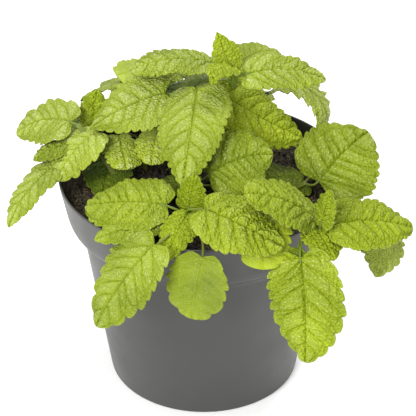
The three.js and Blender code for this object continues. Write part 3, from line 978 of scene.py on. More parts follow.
@dataclass(frozen=True)
class PotFinish(Finish):
    """Dark warm grey moulded plastic, satin, faintly clouded and rubbed, with soil dust on the inside."""

    body: Color = (0.039, 0.039, 0.036)
    worn: Color = (0.053, 0.053, 0.049)
    dust: Color = (0.035, 0.024, 0.014)
    dust_least: float = 0.1
    dust_roughness: float = 0.3

    def paint(self, board: Surface) -> None:
        """Fills the material's nodes.

        Args:
            board: The material's nodes.
        """
        shell = board.mix(board.mottle(22.0, 0.0, 0.35, detail=4.0), self.body, self.worn)
        patches = board.plus(board.mottle(130.0, -0.2, 0.9, detail=5.0), self.dust_least)
        dusty = board.times(board.mark("dust"), patches)
        satin = board.mottle(70.0, self.roughness - 0.05, self.roughness + 0.07, detail=5.0)
        rough = board.plus(satin, board.times(dusty, self.dust_roughness))
        board.dress(board.mix(dusty, shell, self.dust), rough)
        board.roughen(1100.0, lumps=0.4, depth=0.04, strength=0.25)


@dataclass(frozen=True)
class SoilFinish(Finish):
    """Moist crumbly potting soil, nearly black in its pits and brown on its crumbs, with pale flecks that
    thin out towards the middle as painted shade under the leaves.
    """

    dark: Color = (0.006, 0.005, 0.003)
    crumb: Color = (0.034, 0.025, 0.012)
    dry: Color = (0.11, 0.084, 0.038)
    crumb_share: float = 0.8
    crumb_roughness: float = 0.1

    def paint(self, board: Surface) -> None:
        """Fills the material's nodes.

        Args:
            board: The material's nodes.
        """
        crumbs = board.mottle(420.0, -0.1, 1.1, detail=6.0)
        base = board.mix(board.times(crumbs, self.crumb_share), self.dark, self.crumb)
        flecks = board.plus(board.mottle(900.0, -1.6, 1.3, detail=4.0), 0.0)
        rough = board.plus(self.roughness, board.times(crumbs, self.crumb_roughness))
        board.dress(board.mix(board.times(flecks, board.mark("dry")), base, self.dry), rough)
        board.roughen(700.0, lumps=0.5, depth=0.8, strength=0.8)


@dataclass(frozen=True)
class LitterFinish(Finish):
    """Dry plant fibres and flakes lying on the soil."""

    pale: Color = (0.20, 0.15, 0.07)
    brown: Color = (0.04, 0.027, 0.012)
    pale_roughness: float = 0.08

    def paint(self, board: Surface) -> None:
        """Fills the material's nodes.

        Args:
            board: The material's nodes.
        """
        shade = board.plus(board.mark("tone"), board.mottle(1500.0, -0.25, 0.25, detail=4.0))
        rough = board.plus(self.roughness, board.times(shade, self.pale_roughness))
        board.dress(board.mix(shade, self.brown, self.pale), rough)
        board.roughen(2500.0, lumps=0.3, depth=0.1, strength=0.5)


@dataclass(frozen=True)
class StudioFinish(Finish):
    """Matt white studio paper."""

    white: Color = (0.92, 0.92, 0.92)

    def paint(self, board: Surface) -> None:
        """Gives the shader one colour and one roughness."""
        board.dress(self.white, self.roughness)


LEAF = LeafFinish("leaf_surface", roughness=0.42)
STEM = StemFinish("stem", roughness=0.5)
POT_PLASTIC = PotFinish("moulded_shell", roughness=0.42)
SOIL = SoilFinish("potting_soil", roughness=0.85)
LITTER = LitterFinish("soil_litter", roughness=0.8)
PAPER = StudioFinish("studio_paper", roughness=0.9)


@dataclass
class Pot:
    """The pot: one moulded wall with a stepped collar, a recessed base and drain holes.

    The pairs are radius and height of the corners of its outside. inner_lifts says how much higher than
    those the inside's corners are, from the collar's down to the body's. The drain holes are cut from
    drain_low to drain_high.
    """

    height: float = 110.0
    rim_radius: float = 69.4
    wall: float = 1.2
    foot_radius: float = 46.9
    foot_flare: float = 0.4
    foot_round: float = 1.5
    collar_low: tuple[float, float] = (66.0, 92.0)
    step_top: tuple[float, float] = (64.8, 88.2)
    step_low: tuple[float, float] = (60.0, 84.2)
    body_top: tuple[float, float] = (59.0, 82.4)
    inner_lifts: tuple[float, float, float] = (0.5, 1.0, 1.3)
    corner_round: float = 1.6
    corner_share: float = 0.45
    corner_steps: int = 4
    floor_top: float = 4.6
    recess: float = 3.0
    recess_slope: float = 1.0
    disc_radius: float = 18.0
    foot_inner: float = 41.0
    drain_count: int = 8
    drain_radius: float = 4.0
    drain_circle: float = 30.0
    drain_low: float = 1.0
    drain_high: float = 7.0
    drain_sides: int = 24
    dust_from: float = 103.0
    dust_full: float = 99.0
    sides: int = 160

    def soften(self, corners: Profile) -> Array:
        """Rounds the corners of a profile, but not its ends.

        Args:
            corners: Points as radius and height.

        Returns:
            The rounded profile.
        """
        path = [np.array(corner) for corner in corners]
        result = [path[0]]
        for before, corner, after in zip(path, path[1:], path[2:]):
            start, end = self.step_off(corner, before), self.step_off(corner, after)
            for t in np.linspace(0, 1, self.corner_steps + 1):
                result.append((1 - t) ** 2 * start + 2 * t * (1 - t) * corner + t * t * end)
        result.append(path[-1])
        return np.array(result)

    def step_off(self, corner: Array, towards: Array) -> Array:
        """The place where the rounding of a corner ends, on its side towards another corner."""
        length = np.linalg.norm(towards - corner)
        return corner + (towards - corner) / length * min(self.corner_round, self.corner_share * length)

    def profile(self) -> Array:
        """The wall's closed outline, from the axis below to the axis above the floor.

        Returns:
            Radius and height of its points.
        """
        outside = [
            (0.0, 0.0),
            (self.disc_radius, 0.0),
            (self.disc_radius + self.recess_slope, self.recess),
            (self.foot_inner - self.recess_slope, self.recess),
            (self.foot_inner, 0.0),
            (self.foot_radius, 0.0),
            (self.foot_radius + self.foot_flare, self.foot_round),
            self.body_top,
            self.step_low,
            self.step_top,
            self.collar_low,
            (self.rim_radius, self.height),
        ]
        bends = zip((self.collar_low, self.step_top, self.body_top), self.inner_lifts)
        inside = [
            (self.rim_radius - self.wall, self.height),
            *((radius - self.wall, height + lift) for (radius, height), lift in bends),
            (self.foot_radius - self.wall, self.floor_top),
            (0.0, self.floor_top),
        ]
        return self.soften(outside + inside)

    def build(self) -> Piece:
        """Turns the wall, cuts the drain holes and hides the plain pot.

        Returns:
            The pot's piece.
        """
        rings = self.profile()[1:-1]
        points = turned(rings, self.sides)
        count = len(points)
        middles = ((0, 0, 0), (0, 0, self.floor_top))
        first = np.arange(self.sides)
        after = (first + 1) % self.sides
        last = count - self.sides
        caps = np.vstack([
            np.column_stack([np.full(self.sides, count), after, first]),
            np.column_stack([np.full(self.sides, count + 1), last + first, last + after]),
        ])
        inside = np.arange(len(rings)) > np.argmax(rings[:, 1])
        depth = smooth_step(self.dust_from, self.dust_full, rings[:, 1]) * inside
        dust = np.concatenate([np.repeat(depth, self.sides), [0, 1]])
        wall = grid_faces(len(rings), self.sides, closed=True)
        parts = MeshParts()
        parts.add(np.vstack([points, middles]), [wall, caps], dust=dust)
        piece = parts.build("pot_shell", [POT_PLASTIC])
        self.cut_drains(piece)
        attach(piece, BODY)
        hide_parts("pot")
        return piece

    def cut_drains(self, piece: Piece) -> None:
        """Cuts the drain holes through the floor.

        Args:
            piece: The turned pot.
        """
        cutters = MeshParts()
        for k in range(self.drain_count):
            angle = (k + 0.5) * 2 * math.pi / self.drain_count
            x, y = self.drain_circle * math.cos(angle), self.drain_circle * math.sin(angle)
            line = np.array([(x, y, self.drain_low), (x, y, self.drain_high)])
            cutters.add(*tube(line, np.full(2, self.drain_radius), circle(self.drain_sides)), dust=1.0)
        tool = cutters.build("drain_cutter", [POT_PLASTIC])
        cut = piece.modifiers.new("drains", "BOOLEAN")
        cut.object = tool
        cut.operation = "DIFFERENCE"
        cut.solver = "EXACT"
        with bpy.context.temp_override(object=piece, active_object=piece):
            bpy.ops.object.modifier_apply(modifier=cut.name)
        bpy.data.objects.remove(tool, do_unlink=True)


@dataclass
class Soil:
    """Potting soil a little below the rim, with fibres and flakes lying on it.

    bottom is radius and height of the rings that lie against the pot's inside. The ranges of the fibres and
    flakes are what their sizes are drawn from.
    """

    top: float = 100.0
    sunk: float = 0.6
    edge_radius: float = 66.0
    edge_fade: float = 3.0
    centre_radius: float = 0.6
    rings: int = 110
    sides: int = 270
    bump: float = 1.1
    swells: int = 5
    swell_share: float = 0.8
    crumb: float = 3.6
    crumb_slope: float = 0.55
    crumb_height: float = 1.9
    fine_crumb: float = 1.9
    fine_slant: float = 0.3
    fine_slope: float = 0.6
    fine_height: float = 0.55
    # Between these radii the painted shade in the middle fades out; under it only this share of the pale
    # flecks shows.
    dry_from: float = 15.0
    dry_full: float = 50.0
    dry_least: float = 0.2
    fibre_count: int = 420
    fibre_gap: float = 1.5
    fibre_length: tuple[float, float] = (3.0, 11.0)
    fibre_bend: float = 1.2
    fibre_lift: tuple[float, float] = (0.1, 0.7)
    fibre_curl: float = 1.6
    fibre_radius: tuple[float, float] = (0.12, 0.3)
    flake_count: int = 160
    flake_radius: tuple[float, float] = (0.6, 1.9)
    flake_narrowing: tuple[float, float] = (0.3, 0.7)
    flake_tilt: float = 0.5
    flake_lift: float = 0.5
    flake_thickness: tuple[float, float] = (0.25, 0.5)
    bottom: Profile = field(default_factory=lambda: [(45.3, 4.9), (57.4, 83.7), (63.2, 89.2), (64.4, 92.5)])

    def swell(self, x: Array, y: Array) -> Array:
        """Height of the slow rises and dips of the soil's top, the same as in the solid.

        Args:
            x: First coordinate of each place.
            y: Second coordinate.

        Returns:
            Height above the soil's level.
        """
        draw = random_numbers(11)
        total = np.zeros_like(x)
        for _ in range(self.swells):
            a = next(draw) * 0.5 + 0.12
            b = next(draw) * 0.5 + 0.12
            c = next(draw) * 2 * math.pi
            total += np.sin(a * x + c) * np.cos(b * y - c)
        return self.bump * total / 2 * self.swell_share

    def surface(self, x: Array, y: Array) -> Array:
        """Height of the crumbly top.

        Args:
            x: First coordinate of each place.
            y: Second coordinate.

        Returns:
            Its height above the pot's underside.
        """
        coarse_gap = cell_gap(x / self.crumb, y / self.crumb, seed=3)
        fine_gap = cell_gap(x / self.fine_crumb + self.fine_slant * y, y / self.fine_crumb, seed=4)
        coarse = smooth_step(0.0, self.crumb_slope, coarse_gap) * self.crumb_height
        fine = smooth_step(0.0, self.fine_slope, fine_gap) * self.fine_height
        edge = smooth_step(self.edge_radius, self.edge_radius - self.edge_fade, np.hypot(x, y))
        return self.top - self.sunk + (self.swell(x, y) + coarse + fine) * edge

    def build(self) -> list[Piece]:
        """Builds the soil and its litter, and hides the plain soil.

        Returns:
            The pieces.
        """
        radius = np.linspace(self.centre_radius, self.edge_radius, self.rings)[::-1]
        top = turned(np.column_stack([radius, np.zeros(self.rings)]), self.sides)
        top[:, 2] = self.surface(top[:, 0], top[:, 1])
        body = np.vstack([turned(np.array(self.bottom), self.sides), top])
        # Pale flecks thin out towards the middle, under the leaves: painted shade.
        dry = smooth_step(self.dry_from, self.dry_full, np.hypot(body[:, 0], body[:, 1]))
        faces = closed_tube(len(self.bottom) + self.rings, self.sides)
        parts = MeshParts()
        parts.add(body, faces, dry=dry * (1 - self.dry_least) + self.dry_least)
        bed = parts.build("soil_bed", [SOIL])
        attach(bed, BODY)
        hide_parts("soil")
        litter = self.litter()
        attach(litter, BODY)
        return [bed, litter]

    def litter(self) -> Piece:
        """Scatters fibres and flakes on the soil.

        Returns:
            The litter's piece.
        """
        draw = np.random.default_rng(5)
        parts = MeshParts()
        for _ in range(self.fibre_count):
            self.add_fibre(parts, self.spot(draw), draw)
        for _ in range(self.flake_count):
            self.add_flake(parts, self.spot(draw), draw)
        return parts.build("soil_litter", [LITTER])

    def spot(self, draw: Random) -> Array:
        """Picks a place on the soil, more often near the pot's wall.

        Args:
            draw: Random numbers.

        Returns:
            Its two coordinates.
        """
        radius = (self.edge_radius - self.edge_fade) * draw.uniform(0.1, 1) ** 0.45
        angle = draw.uniform(0, 2 * np.pi)
        return radius * np.array([np.cos(angle), np.sin(angle)])

    def add_fibre(self, parts: MeshParts, place: Array, draw: Random) -> None:
        """Adds one bent fibre, if all of it lies on the soil.

        Args:
            parts: What it is added to.
            place: Where its middle lies.
            draw: Random numbers.
        """
        length = draw.uniform(*self.fibre_length)
        turn = draw.uniform(0, 2 * np.pi)
        bend = draw.uniform(-self.fibre_bend, self.fibre_bend)
        s = np.linspace(-0.5, 0.5, 9)
        x = place[0] + length * s * np.cos(turn + bend * s)
        y = place[1] + length * s * np.sin(turn + bend * s)
        if np.hypot(x, y).max() >= self.edge_radius - self.fibre_gap:
            return
        lift = draw.uniform(*self.fibre_lift)
        curl = draw.uniform(0, self.fibre_curl) * (2 * s) ** 2 * draw.choice([0, 1])
        line = np.stack([x, y, self.surface(x, y) + lift + curl], axis=-1)
        radius = draw.uniform(*self.fibre_radius) * (1 - 0.6 * np.abs(2 * s) ** 3)
        parts.add(*tube(line, radius, circle(5)), tone=draw.uniform(0.1, 1.0))

    def add_flake(self, parts: MeshParts, place: Array, draw: Random) -> None:
        """Adds one thin flake of bark.

        Args:
            parts: What it is added to.
            place: Where it lies.
            draw: Random numbers.
        """
        corners = int(draw.integers(5, 8))
        angle = np.sort(draw.uniform(0, 2 * np.pi, corners))
        size = draw.uniform(*self.flake_radius) * np.array([1.0, draw.uniform(*self.flake_narrowing)])
        turn = draw.uniform(0, 2 * np.pi)
        a, b = size[0] * np.cos(angle), size[1] * np.sin(angle)
        x = a * np.cos(turn) - b * np.sin(turn)
        y = a * np.sin(turn) + b * np.cos(turn)
        tilt = draw.uniform(-self.flake_tilt, self.flake_tilt, 2)
        level = float(self.surface(place[:1], place[1:])[0]) + self.flake_lift
        ring = np.stack([place[0] + x, place[1] + y, level + tilt[0] * x + tilt[1] * y], axis=-1)
        low = ring - (0, 0, draw.uniform(*self.flake_thickness))
        sides = np.arange(corners)
        after = (sides + 1) % corners
        wall = np.stack([sides + corners, after + corners, after, sides], axis=-1)
        caps = np.vstack([sides, sides[::-1] + corners])
        parts.add(np.vstack([ring, low]), [wall, caps], tone=draw.uniform(0, 0.8))


@dataclass
class Blade:
    """Sizes that all leaf blades share, and the way one is built.

    The lobes, the wave, the teeth, the margin's waves and the places of the veins are shares of the blade's
    or a tooth's own sizes. side_vein, branch_vein and rib are heights and widths, and the rim pair says how
    far from the margin its paler line, painted light as if shining through the thin edge, begins and is full.
    cushion_at_rim and puff_at_rim are what is left of the relief at the margin, and rim_flat is how far from
    it the relief is full again.
    """

    thickness: float = 0.42
    fewest_rows: int = 20
    fewest_columns: int = 8
    fewest_teeth: int = 6
    base_bluntness: float = 0.4
    base_width: float = 0.1
    tip_half_width: float = 0.3
    lobe: float = 0.25
    lobe_fade: float = 0.1
    lobe_curve: float = 1.5
    fold: float = 7.0
    side_drop: float = 0.11
    wave: float = 0.022
    wave_count: float = 2.3
    wave_offset: float = 1.2
    tooth_depth: float = 0.5
    tooth_spread: float = 0.25
    tooth_limit: float = 0.24
    tooth_middle: float = 0.55
    tooth_lean: float = 0.5
    tooth_peak: float = 0.72
    tooth_offset: float = 0.15
    tooth_drift: float = 0.3
    tooth_fades: tuple[float, float] = (0.04, 0.97)
    margin_waves: tuple[tuple[float, float], ...] = ((8.0, 0.035), (19.0, 0.02))
    rim: tuple[float, float] = (0.9, 0.1)
    rib: tuple[float, float] = (0.5, 0.55)
    rib_taper: float = 0.8
    rib_branches: float = 0.16
    vein_interval: float = 0.155
    vein_reach: float = 0.29
    vein_arch: float = 1.25
    vein_first: float = 0.004
    vein_last: float = 0.84
    vein_shortening: float = 0.22
    vein_wobble: float = 0.013
    basal_reach: float = 0.05
    basal_end: float = 0.03
    vein_thinning: float = 0.5
    midrib_width: float = 0.45
    midrib_taper: float = 0.2
    side_vein: tuple[float, float] = (0.6, 0.32)
    branch_vein: tuple[float, float] = (0.4, 0.28)
    branch_starts: tuple[float, ...] = (0.3, 0.55, 0.78)
    branch_shift: float = 0.06
    branch_overlap: float = 1.15
    branch_arch: float = 0.9
    branch_clearance: tuple[float, float] = (1.2, 0.3)
    cushion_slope: float = 1.2
    cushion_curve: float = 1.4
    cushion_at_rim: float = 0.3
    puff_at_rim: float = 0.4
    puff_on_vein: float = 0.6
    rim_flat: float = 2.2
    usual_width: float = 28.0
    roll_height: float = 0.3
    roll_lengths: tuple[float, float] = (4.3, 3.1)
    roll_slant: float = 0.2
    cell_stretch: float = 1.1
    cell_drift: tuple[float, float] = (0.3, 0.35)
    cell_drift_length: float = 2.7

    def outline_share(self, s: Array, widest: float) -> Array:
        """Share of the full half width.

        Args:
            s: Places from 0 at the base to 1 at the tip.
            widest: The place where the blade is widest.

        Returns:
            The share at each place.
        """
        back = self.base_bluntness * (1 - widest) / widest
        most = widest**self.base_bluntness * (1 - widest) ** back
        return s**self.base_bluntness * (1 - s) ** back / most

    def half_width(self, leaf: Leaf, s: Array) -> Array:
        """Half width of a leaf, without its teeth.

        Args:
            leaf: The leaf.
            s: Places from 0 at the base to 1 at the tip.

        Returns:
            The half width at each place.
        """
        half = leaf.width / 2 * self.outline_share(s, leaf.widest)
        return np.maximum(half, np.where(s < 0.001, leaf.width / 2 * self.base_width, self.tip_half_width))

    def lobe_shift(self, leaf: Leaf, s: Array, t: Array) -> Array:
        """How far the base's lobes reach back.

        Args:
            leaf: The leaf.
            s: Places from 0 at the base to 1 at the tip.
            t: Places from 0 at the midrib to 1 at the margin.

        Returns:
            The shift towards the stalk at each place.
        """
        fade = np.exp(-s / self.lobe_fade) * self.half_width(leaf, s) / (leaf.width / 2)
        return self.lobe * leaf.length * fade * t**self.lobe_curve

    def curve_gap(self, leaf: Leaf, x: Array, t: Array, s: Array) -> Array:
        """Distance of each place from a vein, less than 0 on its side towards the leaf's base.

        Args:
            leaf: The leaf.
            x: Place of each point along the midrib.
            t: Places from 0 at the midrib to 1 at the margin, one for each column.
            s: Where the vein is in each column, from 0 at the base to 1 at the tip.

        Returns:
            The distances.
        """
        s = np.clip(s, 0, 1)
        ahead = s * leaf.length - self.lobe_shift(leaf, s, t)
        slope = np.gradient(ahead, axis=1) / np.gradient(t * self.half_width(leaf, s), axis=1)
        return (x - ahead) / np.sqrt(1 + slope**2)

    def vein_gaps(self, leaf: Leaf, x: Array, t: Array, draw: Random) -> tuple[Array, Array]:
        """Distances from the nearest side vein and from the nearest branch, on one half of a blade.

        Args:
            leaf: The leaf.
            x: Place of each point along the midrib.
            t: Places from 0 at the midrib to 1 at the margin, one for each column.
            draw: Random numbers.

        Returns:
            The two distances, with a sign for the side of the vein.
        """
        main, branch = np.full(x.shape, FAR), np.full(x.shape, FAR)
        start = self.vein_first
        while start < self.vein_last:
            basal = start < self.basal_end
            reach = self.basal_reach
            if not basal:
                reach = (self.vein_reach - self.vein_shortening * start**2) * draw.uniform(0.85, 1.15)
            wobble = self.vein_wobble * np.sin(draw.uniform(4, 9) * t + draw.uniform(0, 6)) * t
            main = closer(main, self.curve_gap(leaf, x, t, start + reach * t**self.vein_arch + wobble))
            for share in () if basal else self.branch_starts:
                fork = share + draw.uniform(-self.branch_shift, self.branch_shift)
                begin = start + reach * fork**self.vein_arch
                end = start + reach - (1 - fork) * self.vein_interval * self.branch_overlap
                past = np.clip((t - fork) / (1 - fork), 1e-4, 1)
                gap = self.curve_gap(leaf, x, t, begin + (end - begin) * past**self.branch_arch)
                branch = closer(branch, np.where(t < fork, FAR, gap))
            start = self.basal_end if basal else start + self.vein_interval * draw.uniform(0.6, 1.25)
        return main, branch

    def tooth(self, phase: Array, point: float) -> Array:
        """Outline of the scallops.

        Args:
            phase: Where in its scallop each place is, from 0 to 1.
            point: 0 for round scallops and 1 for teeth pointing to the tip.

        Returns:
            0 in the notches and 1 on the scallops' tops.
        """
        round_top = np.sqrt(np.clip(1 - np.abs(2 * phase - 1) ** 2.2, 0, 1))
        pointed = np.minimum(phase / self.tooth_peak, (1 - phase) / (1 - self.tooth_peak))
        return (1 - point) * round_top + point * pointed

    def margin(self, leaf: Leaf, s: Array, t: Array, draw: Random) -> tuple[Array, Array]:
        """The waved half width of a blade and the teeth on it.

        Args:
            leaf: The leaf.
            s: Places from 0 at the base to 1 at the tip, one for each row.
            t: Places from -1 at the right margin to 1 at the left one, one for each column.
            draw: Random numbers.

        Returns:
            The half width, and how far the teeth push each place outwards.
        """
        half = self.half_width(leaf, s)
        teeth = max(self.fewest_teeth, round(leaf.length / leaf.tooth))
        left = (t > 0).astype(int)
        drift = self.tooth_offset * np.sign(t) + self.tooth_drift * np.sin(7 * s + draw.uniform(0, 6))
        along_teeth = s * teeth + drift
        sizes = draw.uniform(1 - self.tooth_spread, 1 + self.tooth_spread, (2, teeth + 3))
        deepest = np.minimum(self.tooth_depth * leaf.length / teeth, self.tooth_limit * half) * leaf.bite
        depth = deepest * sizes[left, np.floor(along_teeth).astype(int) + 1]
        starts = draw.uniform(0, 2 * np.pi, (2, 2))
        for (turns, amount), start in zip(self.margin_waves, starts):
            half = half * (1 + amount * np.sin(turns * s + start[left]))
        point = min(1.0, RELIEF_SIZES[leaf.relief].point + leaf.bite - 1)
        outward = depth * (self.tooth(along_teeth % 1, point) - self.tooth_middle) * np.abs(t) ** 5
        return half, outward * smooth_step(0, self.tooth_fades[0], s) * smooth_step(1, self.tooth_fades[1], s)

    def build(self, leaf: Leaf, phase: float, seed: int, parts: MeshParts) -> None:
        """Adds one blade.

        Args:
            leaf: Where it is and how large.
            phase: Where the wave of its margin starts.
            seed: Picks the pattern of its relief.
            parts: What it is added to.
        """
        step = RELIEF_SIZES[leaf.relief].spacing * 1
        rows = max(self.fewest_rows, round(leaf.length / step))
        columns = 2 * max(self.fewest_columns, round(leaf.width / 2 / step))
        s = np.linspace(0, 1, rows + 1)[:, None]
        t = np.linspace(-1, 1, columns + 1)[None, :]
        side = np.abs(t)
        half, outward = self.margin(leaf, s, t, np.random.default_rng(seed + 50))
        across = side * half + outward
        back = self.lobe_shift(leaf, s, side) - self.tooth_lean * outward
        vein, rise, marks = self.relief(leaf, s * leaf.length - back, across, half, side, seed)
        fold = across * math.tan(math.radians(self.fold))
        hang = self.side_drop * leaf.width * (half / (leaf.width / 2)) * side**2
        turns = 2 * np.pi * self.wave_count * s + phase + np.sign(t) * self.wave_offset
        wave = self.wave * leaf.width * np.sin(turns) * self.outline_share(s, leaf.widest) * side**2
        height = fold - hang + wave + rise
        line, along, sideways, normal = (part[:, None] for part in self.midrib(leaf, rows))
        flat = line + sideways * (np.sign(t) * across)[..., None] - along * back[..., None]
        rib = self.rib[0] * ridge(across, self.rib[1]) * (1 - self.rib_taper * s) + self.rib_branches * vein
        upper = flat + normal * height[..., None]
        lower = flat + normal * (height - self.thickness - rib)[..., None]
        # Where the margin's paler line lies: painted light shining through the thin edge.
        marks["rim"] = smooth_step(*self.rim, half * (1 - side))
        self.add_sheet(parts, leaf, (upper, lower), marks)

    def relief(
        self, leaf: Leaf, x: Array, y: Array, half: Array, side: Array, seed: int
    ) -> tuple[Array, Array, Marks]:
        """Veins, and the cushions and swellings between them.

        Args:
            leaf: The leaf.
            x: Place of each point along the midrib, in columns from the right margin to the left.
            y: Its distance from the midrib.
            half: The blade's half width there.
            side: Places from 0 at the midrib to 1 at the margin, one for each column.
            seed: Picks the pattern.

        Returns:
            How much of a vein there is at each place, from 0 to 1, the height there, and the marks of the
            veins and of the pebbles' places.
        """
        look = RELIEF_SIZES[leaf.relief]
        draw = np.random.default_rng(seed)
        middle = x.shape[1] // 2
        main, branch = np.empty_like(x), np.empty_like(x)
        for columns in (slice(0, middle), slice(middle, None)):
            main[:, columns], branch[:, columns] = self.vein_gaps(leaf, x[:, columns], side[:, columns], draw)
        along = np.clip(x / leaf.length, 0, 1)
        thin = 1 - self.vein_thinning * smooth_step(0.5, 1.0, y / (half + 0.01))
        vein = ridge(y, self.midrib_width - self.midrib_taper * along)
        for gap, (height, width) in ((main, self.side_vein), (branch, self.branch_vein)):
            vein = np.maximum(vein, height * thin * ridge(gap, width))
        past_branch = self.branch_clearance[0] * np.abs(branch) + self.branch_clearance[1]
        apart = np.minimum(np.minimum(np.abs(main), y), past_branch)
        cushion = 1 - np.exp(-((apart / self.cushion_slope) ** self.cushion_curve))
        long, wide = self.roll_lengths
        swing = np.sin(x / long + seed) * np.sin(y / wide + self.roll_slant * x + seed)
        sideways = y * np.where(np.arange(x.shape[1]) < middle, -1, 1)
        across_cell = sideways / (self.cell_stretch * look.cell) + self.cell_drift[0] * np.sin(x / long)
        along_cell = x / look.cell + self.cell_drift[1] * np.sin(y / self.cell_drift_length + seed)
        puff = smooth_step(0.0, 0.7, cell_gap(0.5 * along_cell, 0.5 * across_cell, seed + 9))
        inner = smooth_step(0.0, self.rim_flat, half - y + 0.3)
        size = np.clip(leaf.width / self.usual_width, 0.5, 1.15)
        cushions = (look.cushion * size + self.roll_height * swing) * cushion
        puffs = look.puff * puff * (1 - self.puff_on_vein * vein)
        rise = cushions * (self.cushion_at_rim + (1 - self.cushion_at_rim) * inner)
        rise = rise + puffs * (self.puff_at_rim + (1 - self.puff_at_rim) * inner) - look.groove * vein
        # raised picks the cushions' and swellings' tops away from the veins, where the leaf lays its painted
        # sheen and highlights.
        marks = {
            "raised": cushion * (0.5 + 0.5 * puff) * (1 - vein),
            "midrib_gap": y / (1.15 - 0.6 * along),
            "main_gap": main / thin,
            "branch_gap": branch / thin,
            "cell_across": across_cell + 7.3 * (seed % 100),
            "cell_along": along_cell + seed,
        }
        return vein, rise - 0.5 * look.cushion - 0.4 * look.puff, marks

    def midrib(self, leaf: Leaf, rows: int) -> tuple[Array, Array, Array, Array]:
        """The midrib's line, and the blade's own directions along it.

        Args:
            leaf: The leaf.
            rows: How many pieces the midrib is cut into.

        Returns:
            Points, directions along the midrib, across the blade and out of its upper face.
        """
        s = np.linspace(0, 1, rows + 1)
        heading = leaf.heading + leaf.sweep * s
        along = heading_vector(heading, leaf.rise - leaf.droop * s)
        middle = s[:-1] + 0.5 / rows
        steps = heading_vector(leaf.heading + leaf.sweep * middle, leaf.rise - leaf.droop * middle)
        line = np.array(leaf.base) + np.vstack([np.zeros(3), np.cumsum(steps, axis=0) * leaf.length / rows])
        level = heading_vector(heading + 90, 0 * s)
        up = np.cross(along, level)
        roll = math.radians(leaf.roll)
        across = level * math.cos(roll) + up * math.sin(roll)
        normal = up * math.cos(roll) - level * math.sin(roll)
        return line, along, across, normal

    def add_sheet(self, parts: MeshParts, leaf: Leaf, faces: tuple[Array, Array], marks: Marks) -> None:
        """Adds a closed sheet.

        Args:
            parts: What it is added to.
            leaf: The leaf, for its looks.
            faces: Grids of points of its upper and its lower face.
            marks: Values at the points of each grid.
        """
        rows, columns = faces[0].shape[:2]
        count = rows * columns
        ids = np.arange(count).reshape(rows, columns)
        edge = np.concatenate([ids[0, :-1], ids[:-1, -1], ids[-1, :0:-1], ids[:0:-1, 0]])
        after = np.roll(edge, -1)
        wall = np.stack([edge, after, after + count, edge + count], axis=-1)
        look = RELIEF_SIZES[leaf.relief]
        parts.add(
            np.concatenate([grid.reshape(-1, 3) for grid in faces]),
            [grid_faces(rows, columns, flip=True), grid_faces(rows, columns) + count, wall],
            under=np.repeat([0.0, 1.0], count),
            tone=leaf.tone,
            down=leaf.down,
            pale=look.pale,
            pebble=look.pebble,
            contrast=look.contrast,
            **{name: np.tile(values.ravel(), 2) for name, values in marks.items()},
        )


